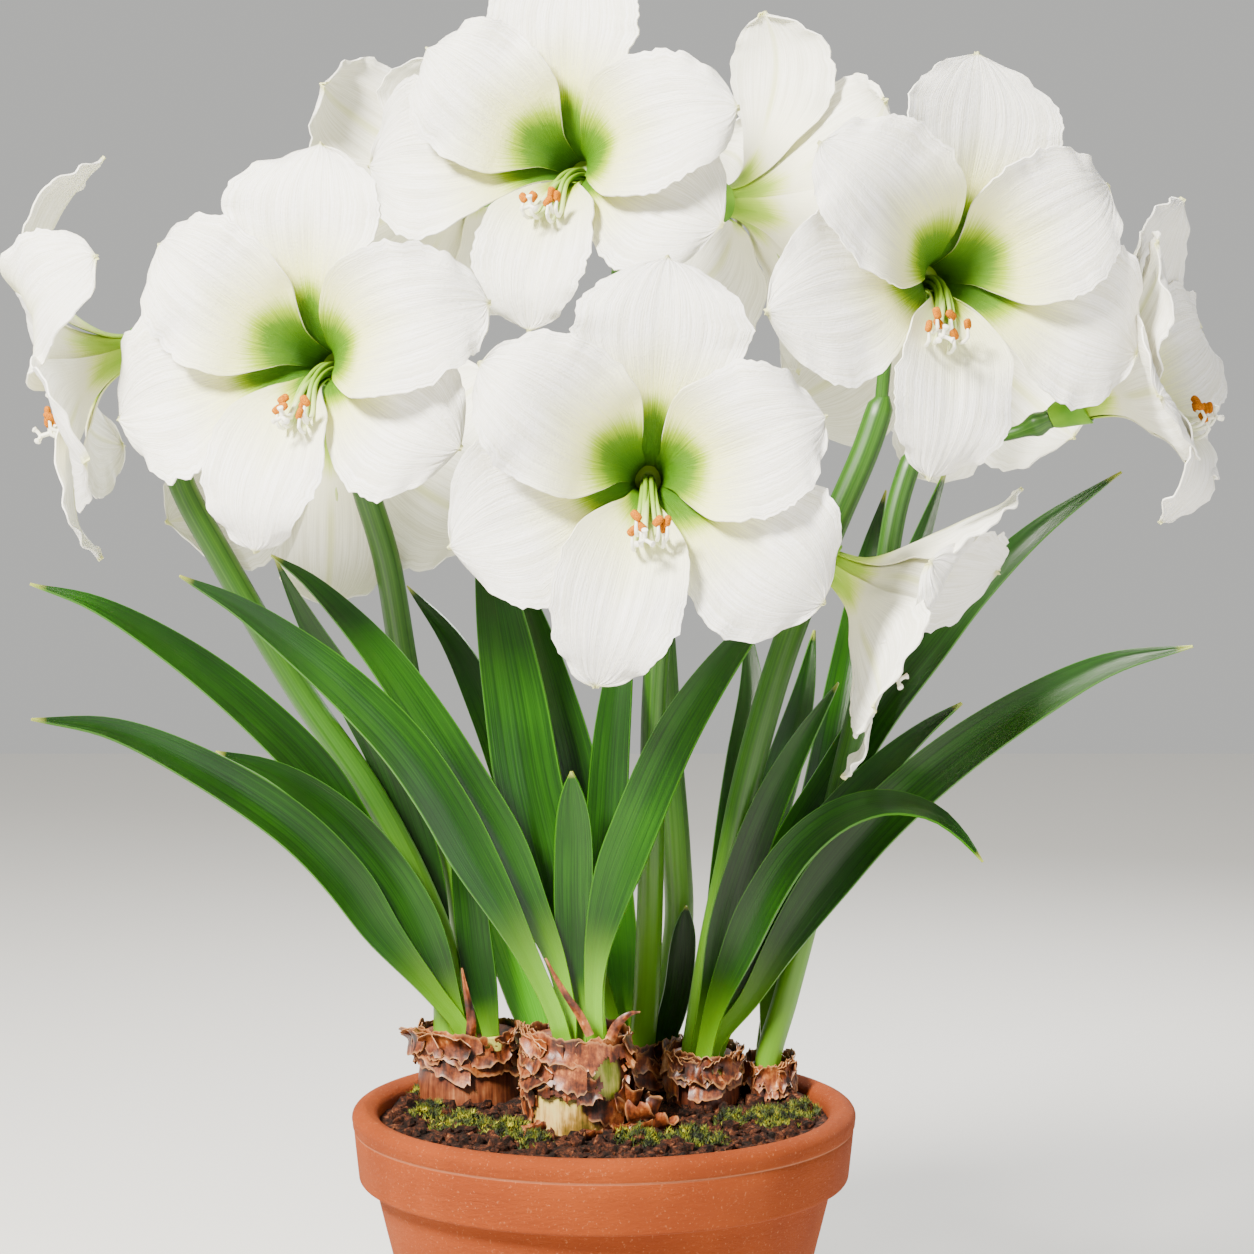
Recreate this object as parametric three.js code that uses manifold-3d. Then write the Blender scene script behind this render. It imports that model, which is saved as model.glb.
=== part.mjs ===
// Potted amaryllis: a terracotta pot of soil with five bulbs, six flower stems, strap leaves and eleven
// large flowers. Millimetres, +Z up. The origin is on the pot's axis, at the surface that it stands on.

import * as THREE from 'three';
import { mergeVertices } from 'three/addons/utils/BufferGeometryUtils.js';
import Module from 'manifold-3d';

const wasm = await Module();
wasm.setup();

// Pot
const rimRadius = 125;
const potHeight = 215;
const bandHeight = 36;
const rimWall = 13.5;
const bodyWall = 9;
const bodyTopRadius = 114;
const footRadius = 70;
const floorThickness = 12;
const drainRadius = 10;
const potSides = 32;

// Soil
const soilLevel = 208;
const soilGap = 0.4;
const soilLump = 1.6;
const soilSides = 24;

// Flowers
const tepalThickness = 1.2;
const tubeTop = 19;
const tubeFloor = 8;
const heartHeight = 25;
const tepalRows = 4;
const frontColumns = 3;
const hiddenColumns = 2;

// Stems and leaves
const stemRadius = 7.8;
const pedicelRadius = 3.4;
const ovaryRadius = 6.4;
const leafThickness = 1.8;
const leafRows = 6;

// The stems, leaves and flowers are laid out as they line up from this point in front of the pot.
const viewpoint = new THREE.Vector3(11.5, -1400, 525);

// The point that lines up with (x, z) of the upright plane through the pot's axis, at a depth behind it.
function seen(x, z, depth) {
  const reach = (depth - viewpoint.y) / -viewpoint.y;
  return new THREE.Vector3(x, 0, z).sub(viewpoint).multiplyScalar(reach).add(viewpoint);
}

// Seeded random numbers from 0 to 1, so that every build is alike.
function randomFrom(seed) {
  let state = seed;
  return () => {
    state = (state * 1664525 + 1013904223) % 4294967296;
    return state / 4294967296;
  };
}

function mix(a, b, t) {
  return a + (b - a) * t;
}

// The value at t of a list of [t, value] stops, smooth between one stop and the next.
function stops(list, t) {
  let k = 1;
  while (k < list.length - 1 && t > list[k][0]) {
    k += 1;
  }
  const [t0, a] = list[k - 1];
  const [t1, b] = list[k];
  return mix(a, b, THREE.MathUtils.smoothstep(t, t0, t1));
}

function geometryFrom(points, faces) {
  const geometry = new THREE.BufferGeometry();
  geometry.setAttribute(
    'position',
    new THREE.Float32BufferAttribute(points.flatMap((p) => [p.x, p.y, p.z]), 3),
  );
  geometry.setIndex(faces.flat());
  geometry.computeVertexNormals();
  return geometry;
}

function solid(geometry) {
  const bare = geometry.clone();
  bare.deleteAttribute('normal');
  bare.deleteAttribute('uv');
  const merged = mergeVertices(bare, 1e-4);
  return new wasm.Manifold(new wasm.Mesh({
    numProp: 3,
    vertProperties: merged.attributes.position.array,
    triVerts: new Uint32Array(merged.index.array),
  }));
}

function geometryOf(body) {
  const mesh = body.getMesh();
  const geometry = new THREE.BufferGeometry();
  geometry.setAttribute('position', new THREE.Float32BufferAttribute(mesh.vertProperties, 3));
  geometry.setIndex(Array.from(mesh.triVerts));
  geometry.computeVertexNormals();
  return geometry;
}

// The pieces joined into one body.
function joined(geometries) {
  const body = geometries.map(solid).reduce((whole, piece) => whole.add(piece));
  return geometryOf(body);
}

// A closed sheet of even thickness about the mid-surface point(u, v), with u and v from 0 to 1.
function sheet(point, columns, rows, thickness) {
  const step = 0.004;
  const front = [];
  const back = [];
  for (let j = 0; j <= rows; j += 1) {
    for (let i = 0; i <= columns; i += 1) {
      const u = i / columns;
      const v = j / rows;
      const across = point(u + step, v).sub(point(u - step, v));
      const along = point(u, v + step).sub(point(u, v - step));
      const normal = across.cross(along).normalize().multiplyScalar(thickness / 2);
      front.push(point(u, v).add(normal));
      back.push(point(u, v).sub(normal));
    }
  }
  const width = columns + 1;
  const behind = front.length;
  const faces = [];
  const quad = (a, b, c, d) => faces.push([a, b, c], [a, c, d]);
  for (let j = 0; j < rows; j += 1) {
    for (let i = 0; i < columns; i += 1) {
      const a = j * width + i;
      quad(a, a + 1, a + width + 1, a + width);
      faces.push([behind + a, behind + a + width + 1, behind + a + 1]);
      faces.push([behind + a, behind + a + width, behind + a + width + 1]);
    }
  }
  const edge = [];
  for (let i = 0; i < columns; i += 1) {
    edge.push(i);
  }
  for (let j = 0; j < rows; j += 1) {
    edge.push(j * width + columns);
  }
  for (let i = columns; i > 0; i -= 1) {
    edge.push(rows * width + i);
  }
  for (let j = rows; j > 0; j -= 1) {
    edge.push(j * width);
  }
  edge.forEach((p, k) => {
    const q = edge[(k + 1) % edge.length];
    quad(p, behind + p, behind + q, q);
  });
  return geometryFrom([...front, ...back], faces);
}

// A closed tube along a curve, with a ring at each of the shares of its length and radius(t) there.
function tube(curve, shares, sides, radius) {
  const points = [];
  const faces = [];
  const segments = shares.length - 1;
  let lastAlong = curve.getTangentAt(0);
  const normal = new THREE.Vector3(0.3, 1, 0.2).cross(lastAlong).normalize();
  shares.forEach((t) => {
    const centre = curve.getPointAt(t);
    const along = curve.getTangentAt(t);
    normal.applyQuaternion(new THREE.Quaternion().setFromUnitVectors(lastAlong, along));
    lastAlong = along;
    const binormal = along.clone().cross(normal);
    const r = radius(t);
    for (let i = 0; i < sides; i += 1) {
      const angle = (2 * Math.PI * i) / sides;
      points.push(
        centre.clone()
          .addScaledVector(normal, r * Math.cos(angle))
          .addScaledVector(binormal, r * Math.sin(angle)),
      );
    }
  });
  for (let j = 0; j < segments; j += 1) {
    for (let i = 0; i < sides; i += 1) {
      const a = j * sides + i;
      const b = j * sides + ((i + 1) % sides);
      faces.push([a, b, b + sides], [a, b + sides, a + sides]);
    }
  }
  const last = segments * sides;
  for (let i = 1; i < sides - 1; i += 1) {
    faces.push([0, i + 1, i], [last, last + i, last + i + 1]);
  }
  return geometryFrom(points, faces);
}

// A closed turned body: rings of [radius, height] from the axis below to the axis above, with the
// radius and height of each ring changed by shape(radius, height, angle, ring).
function turned(rings, sides, shape = (r, z) => [r, z]) {
  const points = [new THREE.Vector3(0, 0, rings[0][1])];
  const inner = rings.slice(1, -1);
  inner.forEach(([radius, height], ring) => {
    for (let i = 0; i < sides; i += 1) {
      const angle = (2 * Math.PI * i) / sides;
      const [r, z] = shape(radius, height, angle, ring);
      points.push(new THREE.Vector3(r * Math.cos(angle), r * Math.sin(angle), z));
    }
  });
  points.push(new THREE.Vector3(0, 0, rings[rings.length - 1][1]));
  const faces = [];
  const top = points.length - 1;
  for (let i = 0; i < sides; i += 1) {
    const next = (i + 1) % sides;
    faces.push([0, 1 + next, 1 + i]);
    for (let ring = 0; ring < inner.length - 1; ring += 1) {
      const a = 1 + ring * sides;
      faces.push([a + i, a + next, a + sides + next], [a + i, a + sides + next, a + sides + i]);
    }
    faces.push([top - sides + i, top - sides + next, top]);
  }
  return geometryFrom(points, faces);
}

function evenShares(segments) {
  return Array.from({ length: segments + 1 }, (_, j) => j / segments);
}

function place(name, geometry, material) {
  const mesh = new THREE.Mesh(geometry, material);
  mesh.name = name;
  return mesh;
}

const terracotta = new THREE.MeshStandardMaterial({ color: '#b9683f', roughness: 0.85 });
const earth = new THREE.MeshStandardMaterial({ color: '#35241a', roughness: 1 });
const bulbSkin = new THREE.MeshStandardMaterial({ color: '#8a5a38', roughness: 0.7 });
const stemGreen = new THREE.MeshStandardMaterial({ color: '#6f9440', roughness: 0.5 });
const petalWhite = new THREE.MeshStandardMaterial({ color: '#f4f1e4', roughness: 0.55 });
const stamenCream = new THREE.MeshStandardMaterial({ color: '#dfe3b4', roughness: 0.6 });
const leafGreen = new THREE.MeshStandardMaterial({ color: '#3f6f2c', roughness: 0.4 });

// Inside of the pot: from the rim straight down the band, then along the tapered body to the floor.
const cavityTopRadius = bodyTopRadius - bodyWall;
const cavityFootRadius = footRadius - bodyWall + 3;
const mouthRadius = rimRadius - rimWall;
const shelfHeight = potHeight - bandHeight + 6;

function potGeometry() {
  const underBand = potHeight - bandHeight;
  const profile = [
    [drainRadius, 0],
    [footRadius, 0],
    [bodyTopRadius, underBand],
    [rimRadius - 4, underBand],
    [rimRadius - 0.4, potHeight - 9],
    [rimRadius, potHeight - 5],
    [rimRadius - 2.5, potHeight],
    [mouthRadius + 2.5, potHeight],
    [mouthRadius, potHeight - 3],
    [mouthRadius, shelfHeight],
    [cavityTopRadius, shelfHeight - 8],
    [cavityFootRadius, floorThickness],
    [drainRadius, floorThickness],
    [drainRadius, 0],
  ];
  const lathe = new THREE.LatheGeometry(profile.map(([r, z]) => new THREE.Vector2(r, z)), potSides);
  return lathe.rotateX(Math.PI / 2);
}

// The four layered bulbs that show and one behind them, squeezed out of round where they crowd together:
// centre, radius across at the widest, depth as a share of the width, and height of the neck's edge.
const bulbs = {
  bulb_left: { x: -69, y: 43, radius: 28, deep: 1, top: 244, seed: 3 },
  bulb_centre: { x: -13, y: -21, radius: 27, deep: 1, top: 254, seed: 8 },
  bulb_right: { x: 50, y: 34, radius: 19.5, deep: 1.4, top: 234, seed: 15 },
  bulb_rear: { x: 18, y: 69, radius: 24, deep: 0.92, top: 232, seed: 21 },
  bulb_outer: { x: 84, y: 44, radius: 12, deep: 1.45, top: 226, seed: 34 },
};
const bulbDepth = 30;
const neckShare = 0.94;
const neckWall = 1.6;
const neckRecess = 24;
const bulbSides = 14;

// Papery skins lie over one another round the bulb, and the neck's edge is torn.
function bulbBody({ radius, deep, top, seed }) {
  const neck = radius * neckShare;
  const random = randomFrom(seed);
  const phases = [random(), random(), random(), random()].map((r) => r * 2 * Math.PI);
  const foot = soilLevel - bulbDepth;
  const rings = [
    [0, foot],
    [radius * 0.6, foot],
    [radius, soilLevel - 12],
    [radius, soilLevel + 4],
    [mix(radius, neck, 0.35), mix(soilLevel, top, 0.5)],
    [mix(radius, neck, 0.8), mix(soilLevel, top, 0.8)],
    [neck, top],
    [neck - neckWall, top],
    [neck - neckWall, top - neckRecess],
    [0, top - neckRecess],
  ];
  const edge = [5, 6];
  return turned(rings, bulbSides, (r, z, angle, ring) => {
    const skins = 0.7 * Math.sin(3 * angle + phases[0]) + 0.5 * Math.sin(5 * angle + phases[1]);
    const torn = 1.8 * Math.sin(3 * angle + phases[2]) + 1.4 * Math.sin(7 * angle + phases[3]);
    const outside = ring > 0 && ring < 6;
    return [r + (outside ? skins : 0), z + (edge.includes(ring) ? torn : 0)];
  }).scale(1, deep, 1);
}

// A torn strip of dry skin standing off a bulb, along a line of points round the bulb's own centre.
function skinFlap(line, halfWidth) {
  const curve = new THREE.CatmullRomCurve3(line.map((p) => new THREE.Vector3(...p)));
  return sheet((u, v) => {
    const t = THREE.MathUtils.clamp(v, 0, 1);
    const centre = curve.getPointAt(t);
    const outward = new THREE.Vector3(centre.x, centre.y, 0).normalize();
    const side = new THREE.Vector3(0, 0, 1).cross(outward);
    const half = mix(halfWidth, 1, t * t);
    const lean = 0.25 * halfWidth * (2 * u - 1) ** 2;
    return centre.addScaledVector(side, (2 * u - 1) * half).addScaledVector(outward, -lean);
  }, 2, 3, 1);
}

const skinFlaps = {
  bulb_left: [
    skinFlap([[4, -26.2, 236], [4, -28, 250], [3, -27, 262], [1, -28, 272]], 5),
    skinFlap([[-26, -3, 232], [-28, -3, 242], [-31, -4, 250]], 7),
  ],
  bulb_centre: [
    skinFlap([[24.5, -8, 232], [31, -10, 238], [38, -11, 234], [43, -12, 224]], 9),
    skinFlap([[-21, -15, 244], [-22, -16, 254], [-23, -17, 264]], 6),
  ],
  bulb_right: [
    skinFlap([[-14.5, -12.5, 222], [-16, -14, 234], [-18, -15, 240]], 5),
  ],
  bulb_rear: [],
  bulb_outer: [
    skinFlap([[8.5, -13, 214], [10, -15, 226], [12, -16, 232]], 4),
  ],
};

function bulbGeometry(name) {
  const bulb = bulbs[name];
  return joined([bulbBody(bulb), ...skinFlaps[name]]).translate(bulb.x, bulb.y, 0);
}

// A young shoot stands in the soil by itself, between the left and the centre bulb.
const shootHole = { x: -31, y: 62, radius: 8 };

// Lumpy soil up to just under the rim, with a socket for every bulb and a hole for the young shoot.
function soilGeometry() {
  const random = randomFrom(5);
  const gap = 1.5 * soilGap + mouthRadius * (1 - Math.cos(Math.PI / potSides));
  const rings = [
    [0, floorThickness + soilGap],
    [cavityFootRadius - gap, floorThickness + soilGap],
    [cavityTopRadius - gap, shelfHeight - 8 - soilGap],
    [mouthRadius - gap, shelfHeight + 1],
    [mouthRadius - gap, soilLevel - 1],
    [88, soilLevel],
    [60, soilLevel],
    [30, soilLevel],
    [0, soilLevel],
  ];
  const ground = turned(rings, soilSides, (r, z) => (
    [r, z > soilLevel - 2 ? z + soilLump * (random() - 0.6) : z]
  ));
  const over = soilLevel + 12;
  const sockets = Object.values(bulbs).map(({ x, y, radius, deep }) => {
    const foot = soilLevel - bulbDepth - soilGap;
    const room = 1.2 + soilGap;
    const outline = [
      [0, foot],
      [radius * 0.6 + room, foot],
      [radius + room, soilLevel - 12],
      [radius + room, over],
      [0, over],
    ];
    return turned(outline, bulbSides).scale(1, deep, 1).translate(x, y, 0);
  });
  const { x, y, radius } = shootHole;
  const slot = turned([[0, soilLevel - 12], [radius, soilLevel - 12], [radius, over], [0, over]], 10)
    .translate(x, y, 0);
  const body = [...sockets, slot].map(solid).reduce((whole, hole) => whole.subtract(hole), solid(ground));
  return geometryOf(body);
}

// Each flower: where its heart lines up, how deep it is, which way it faces (turn to the right, rise),
// and, for its six tepals from the one at the right of the top round by way of the left, their angle
// about the flower's axis, their reach and how far they bend back.
const regular = [30, 90, 150, 210, 270, 330];
const unbent = [0, 0, 0, 0, 0, 0];
const flowers = {
  A: {
    at: [22, 525, -82], turn: 0, rise: 3,
    angles: [18, 85, 147, 200, 256, 324], reach: [0.88, 1.04, 1, 1, 1.12, 1.04], bends: unbent,
  },
  B: {
    at: [-137, 581, -40], turn: -22, rise: 4,
    angles: [15, 85, 143, 196, 256, 343], reach: [1.08, 1.06, 0.98, 1.07, 1.03, 0.96],
    bends: [24, 0, 0, 0, 0, 6],
  },
  C: {
    at: [-14, 676, 14], turn: -20, rise: 8,
    angles: [10, 86, 141, 181, 267, 337], reach: [1.1, 1, 0.9, 1.03, 0.95, 0.98], bends: unbent,
  },
  D: {
    at: [163, 623, -46], turn: 21, rise: 0,
    angles: [31, 86, 144, 191, 257, 339], reach: [0.87, 1.09, 1.08, 1.1, 1.1, 1.03], bends: unbent,
  },
  E: {
    at: [-236, 587, 20], turn: -83, rise: -15,
    angles: regular, reach: [0.72, 0.97, 1, 0.85, 1.08, 1.08], bends: [20, 40, 0, 10, 0, -15],
  },
  F: {
    at: [243, 564, 12], turn: 70, rise: 22,
    angles: [15, 75, 135, 195, 255, 315], reach: [0.72, 0.75, 0.73, 0.5, 0.7, 0.5],
    bends: [-12, -40, -26, -8, 30, -4],
  },
  G: {
    at: [63, 660, 62], turn: 128, rise: 4, hidden: true,
    angles: regular, reach: [0.62, 1, 0.95, 0.95, 0.95, 0.9], bends: unbent,
  },
  H: {
    at: [118, 479, -40], turn: 85, rise: -32,
    angles: [30, 90, 150, 215, 270, 330], reach: [0.8, 0.74, 0.4, 0.7, 0.88, 0.6],
    bends: [-26, -20, 4, -12, -18, -15],
  },
  I: {
    at: [-136, 556, 57], turn: 178, rise: -28, hidden: true,
    angles: regular, reach: [1, 1, 1, 1, 1, 1], bends: unbent,
  },
  J: {
    at: [-62, 668, 66], turn: -138, rise: 8, hidden: true,
    angles: regular, reach: [0.92, 0.55, 0.85, 0.95, 0.95, 0.92], bends: unbent,
  },
  K: {
    at: [162, 606, 78], turn: 168, rise: 0, hidden: true,
    angles: regular, reach: [0.95, 1, 0.82, 0.82, 0.95, 0.95], bends: unbent,
  },
};

function facingOf({ turn, rise }) {
  const a = THREE.MathUtils.degToRad(turn);
  const b = THREE.MathUtils.degToRad(rise);
  return new THREE.Vector3(Math.sin(a) * Math.cos(b), -Math.cos(a) * Math.cos(b), Math.sin(b));
}

function baseOf(flower) {
  return seen(...flower.at).addScaledVector(facingOf(flower), -heartHeight);
}

// Turns a flower's own frame, axis +Z and top +Y, to the way that the flower faces.
function turnTo(mesh, flower) {
  const forward = facingOf(flower);
  const right = new THREE.Vector3(0, 0, 1).cross(forward).normalize();
  const up = forward.clone().cross(right);
  mesh.quaternion.setFromRotationMatrix(new THREE.Matrix4().makeBasis(right, up, forward));
  mesh.position.copy(baseOf(flower));
  return mesh;
}

// Midribs of the outer and inner tepals: distance from the flower's axis and height above its base.
const outerMidrib = [[6, 5], [9.6, 20], [15.6, 34], [31, 50], [54, 58], [78, 60], [97, 53]];
const innerMidrib = [[5.6, 5], [9.2, 20], [14, 37], [28, 55], [50, 67], [73, 71], [92, 63]];
const outerHalfWidth = [[0, 3.4], [0.13, 5.4], [0.25, 8.5], [0.435, 21], [0.58, 35], [0.7, 41], [0.8, 38.5],
  [0.9, 26], [0.96, 13], [1, 2]];
const innerHalfWidth = [[0, 3.2], [0.12, 5.2], [0.265, 10], [0.35, 19], [0.447, 30], [0.56, 35],
  [0.68, 35.5], [0.78, 32.5], [0.87, 25.5], [0.95, 15], [1, 2]];
const tepalHollow = [[0, 0.13], [0.25, 0.07], [0.45, 0.022], [0.7, 0.008], [1, 0.004]];

// One tepal in the flower's frame at an angle about the axis: hollow across its width in the tube,
// open and waved at the margins in the limb, and pinched to a small point.
function tepalGeometry({ angle, inner, reach, width, bend, phase, columns }) {
  const midrib = (inner ? innerMidrib : outerMidrib).map(([r, z]) => {
    const out = Math.max(r - 28, 0);
    return new THREE.Vector3(r + out * (reach - 1), 0, z - bend * (out / 65) ** 2);
  });
  const curve = new THREE.CatmullRomCurve3(midrib);
  const turn = new THREE.Matrix4().makeRotationZ(angle);
  return sheet((u, v) => {
    const t = THREE.MathUtils.clamp(v * (1.2 - 0.2 * v ** 3), 0, 1);
    const centre = curve.getPointAt(t);
    const along = curve.getTangentAt(t);
    const inward = new THREE.Vector3(-along.z, 0, along.x);
    const s = (2 * u - 1) * width * stops(inner ? innerHalfWidth : outerHalfWidth, t);
    const hollow = stops(tepalHollow, t);
    const wave = 1.3 * (2 * u - 1) ** 2 * THREE.MathUtils.smoothstep(t, 0.4, 0.65)
      * Math.sin(14 * t + 3 * u + phase);
    const groove = 1.4 * Math.exp(-((s / 6) ** 2)) * THREE.MathUtils.smoothstep(t, 0.35, 0.6);
    centre.y += Math.sin(hollow * s) / hollow;
    centre.addScaledVector(inward, (1 - Math.cos(hollow * s)) / hollow + wave - groove);
    return centre.applyMatrix4(turn);
  }, columns, tepalRows, tepalThickness);
}

// The short green tube that the six tepals grow from, open above its floor.
function tubeGeometry() {
  const rings = [[0, 0], [5.4, 0], [10.6, tubeTop], [8.6, tubeTop], [4.8, tubeFloor], [0, tubeFloor]];
  return turned(rings, 8);
}

function flowerGeometry({ angles, reach, bends, hidden = false }, seed) {
  const random = randomFrom(seed);
  const pieces = reach.map((share, k) => {
    const inner = k % 2 === 0;
    return tepalGeometry({
      angle: THREE.MathUtils.degToRad(angles[k]),
      inner,
      reach: share,
      width: k === 4 ? 0.86 : 1,
      bend: bends[k] + 4 * (random() - 0.5),
      phase: 6 * random(),
      columns: hidden ? hiddenColumns : frontColumns,
    });
  });
  return joined([tubeGeometry(), ...pieces]);
}

// Six bent filaments with an anther across the end of each, and the longer style, on a common base.
function stamenGeometry(seed) {
  const random = randomFrom(seed);
  const foot = tubeFloor + 0.4;
  const pieces = [turned([[0, foot], [3.4, foot], [3, foot + 2], [0, foot + 2]], 6)];
  for (let k = 0; k < 6; k += 1) {
    const angle = THREE.MathUtils.degToRad(60 * k);
    const side = Math.cos(angle);
    const rise = Math.sin(angle);
    const end = new THREE.Vector3(12 * side, -19 + 5 * rise - 3 * random(), 58 + 8 * random());
    const lie = new THREE.Vector3(0.6, 0.5 * rise, 0.5 * side).normalize();
    const path = new THREE.CatmullRomCurve3([
      new THREE.Vector3(2.5 * side, 2.5 * rise, foot + 1),
      new THREE.Vector3(3.3 * side, 3.3 * rise - 3, 26),
      new THREE.Vector3(7 * side, 3.5 * rise - 10, 45),
      end,
      end.clone().addScaledVector(lie, 4).add(new THREE.Vector3(0, 0, 2)),
      end.clone().addScaledVector(lie, 8),
    ]);
    pieces.push(tube(path, [0, 0.42, 0.86, 0.93, 1], 3, (t) => (t === 0.93 ? 1.9 : 0.8)));
  }
  const style = new THREE.CatmullRomCurve3([
    new THREE.Vector3(0, 0, foot + 1),
    new THREE.Vector3(0, -3, 26),
    new THREE.Vector3(-1, -13, 48),
    new THREE.Vector3(-2, -30, 72),
    new THREE.Vector3(-2, -31, 82),
  ]);
  pieces.push(tube(style, evenShares(4), 3, (t) => mix(0.9, 1.6, t)));
  return joined(pieces);
}

// Each stem: its path from the bulb to the top, and the flowers whose stalks spring from there.
const stems = {
  stem_left: {
    path: [[-77, 234, 42], [-79, 286, 44], [-91, 321, 46], [-115, 368, 48], [-150, 420, 50],
      [-188, 485, 50],
      [-208, 523, 48], [-214, 548, 44]],
    flowers: ['E'],
  },
  stem_left_inner: {
    path: [[-60, 236, 55], [-71, 316, 70], [-84, 366, 72], [-97, 425, 69], [-107, 485, 52], [-118, 522, 32],
      [-124, 544, 20]],
    flowers: ['B', 'I'],
  },
  stem_rear: {
    path: [[23.6, 228, 73.5], [26, 245, 74], [37, 301, 78], [36, 341, 76], [32, 391, 74],
      [29, 440, 70], [24, 499, 66],
      [18, 563, 62], [12, 612, 60], [9, 634, 58]],
    flowers: ['C', 'G', 'J'],
  },
  stem_centre: {
    path: [[18, 226, 60.5], [18.5, 240, 60], [21, 266, 53], [23, 316, 36], [24, 366, 24],
      [25, 415, 12], [28, 455, 0],
      [34, 492, -12]],
    radius: 7,
    flowers: ['A', 'H'],
  },
  stem_right: {
    path: [[43.5, 224, 42], [54, 291, 32], [62, 331, 26], [71, 376, 20], [89, 440, 14], [112, 499, 12],
      [129, 539, 12], [138, 566, 12]],
    flowers: ['D'],
  },
  stem_far_right: {
    path: [[81.3, 216, 40], [81.7, 236, 40.3], [90, 266, 38], [103, 316, 38], [113, 356, 39],
      [122, 393, 42], [134, 445, 48],
      [144, 509, 54], [153, 539, 56]],
    radius: 6.6,
    flowers: ['F', 'K'],
  },
};

// A round stem that thickens at the top, and from there a stalk with a green ovary to each flower.
function stemGeometry({ path, flowers: names, radius = stemRadius }) {
  const curve = new THREE.CatmullRomCurve3(path.map((p) => seen(...p)));
  const top = curve.getPointAt(1);
  const width = (t) => (t > 0.95 ? radius + 0.8 : mix(radius, radius - 1, t));
  const pieces = [tube(curve, evenShares(8), 8, width)];
  names.forEach((name) => {
    const flower = flowers[name];
    const facing = facingOf(flower);
    const base = baseOf(flower).addScaledVector(facing, -0.4);
    const stalk = new THREE.CatmullRomCurve3([
      curve.getPointAt(0.985),
      top.clone().lerp(base, 0.3).addScaledVector(facing, -8),
      base.clone().addScaledVector(facing, -18),
      base.clone().addScaledVector(facing, -9),
      base,
    ]);
    const length = stalk.getLength();
    const ovaryStart = 1 - 17 / length;
    pieces.push(tube(stalk, [0, ovaryStart / 2, ovaryStart, 1 - 8 / length, 1], 6, (t) => {
      const left = (1 - t) * length;
      return left > 16.9 ? pedicelRadius : mix(ovaryRadius, ovaryRadius - 1.6, 1 - left / 8);
    }));
  });
  return joined(pieces);
}

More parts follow.
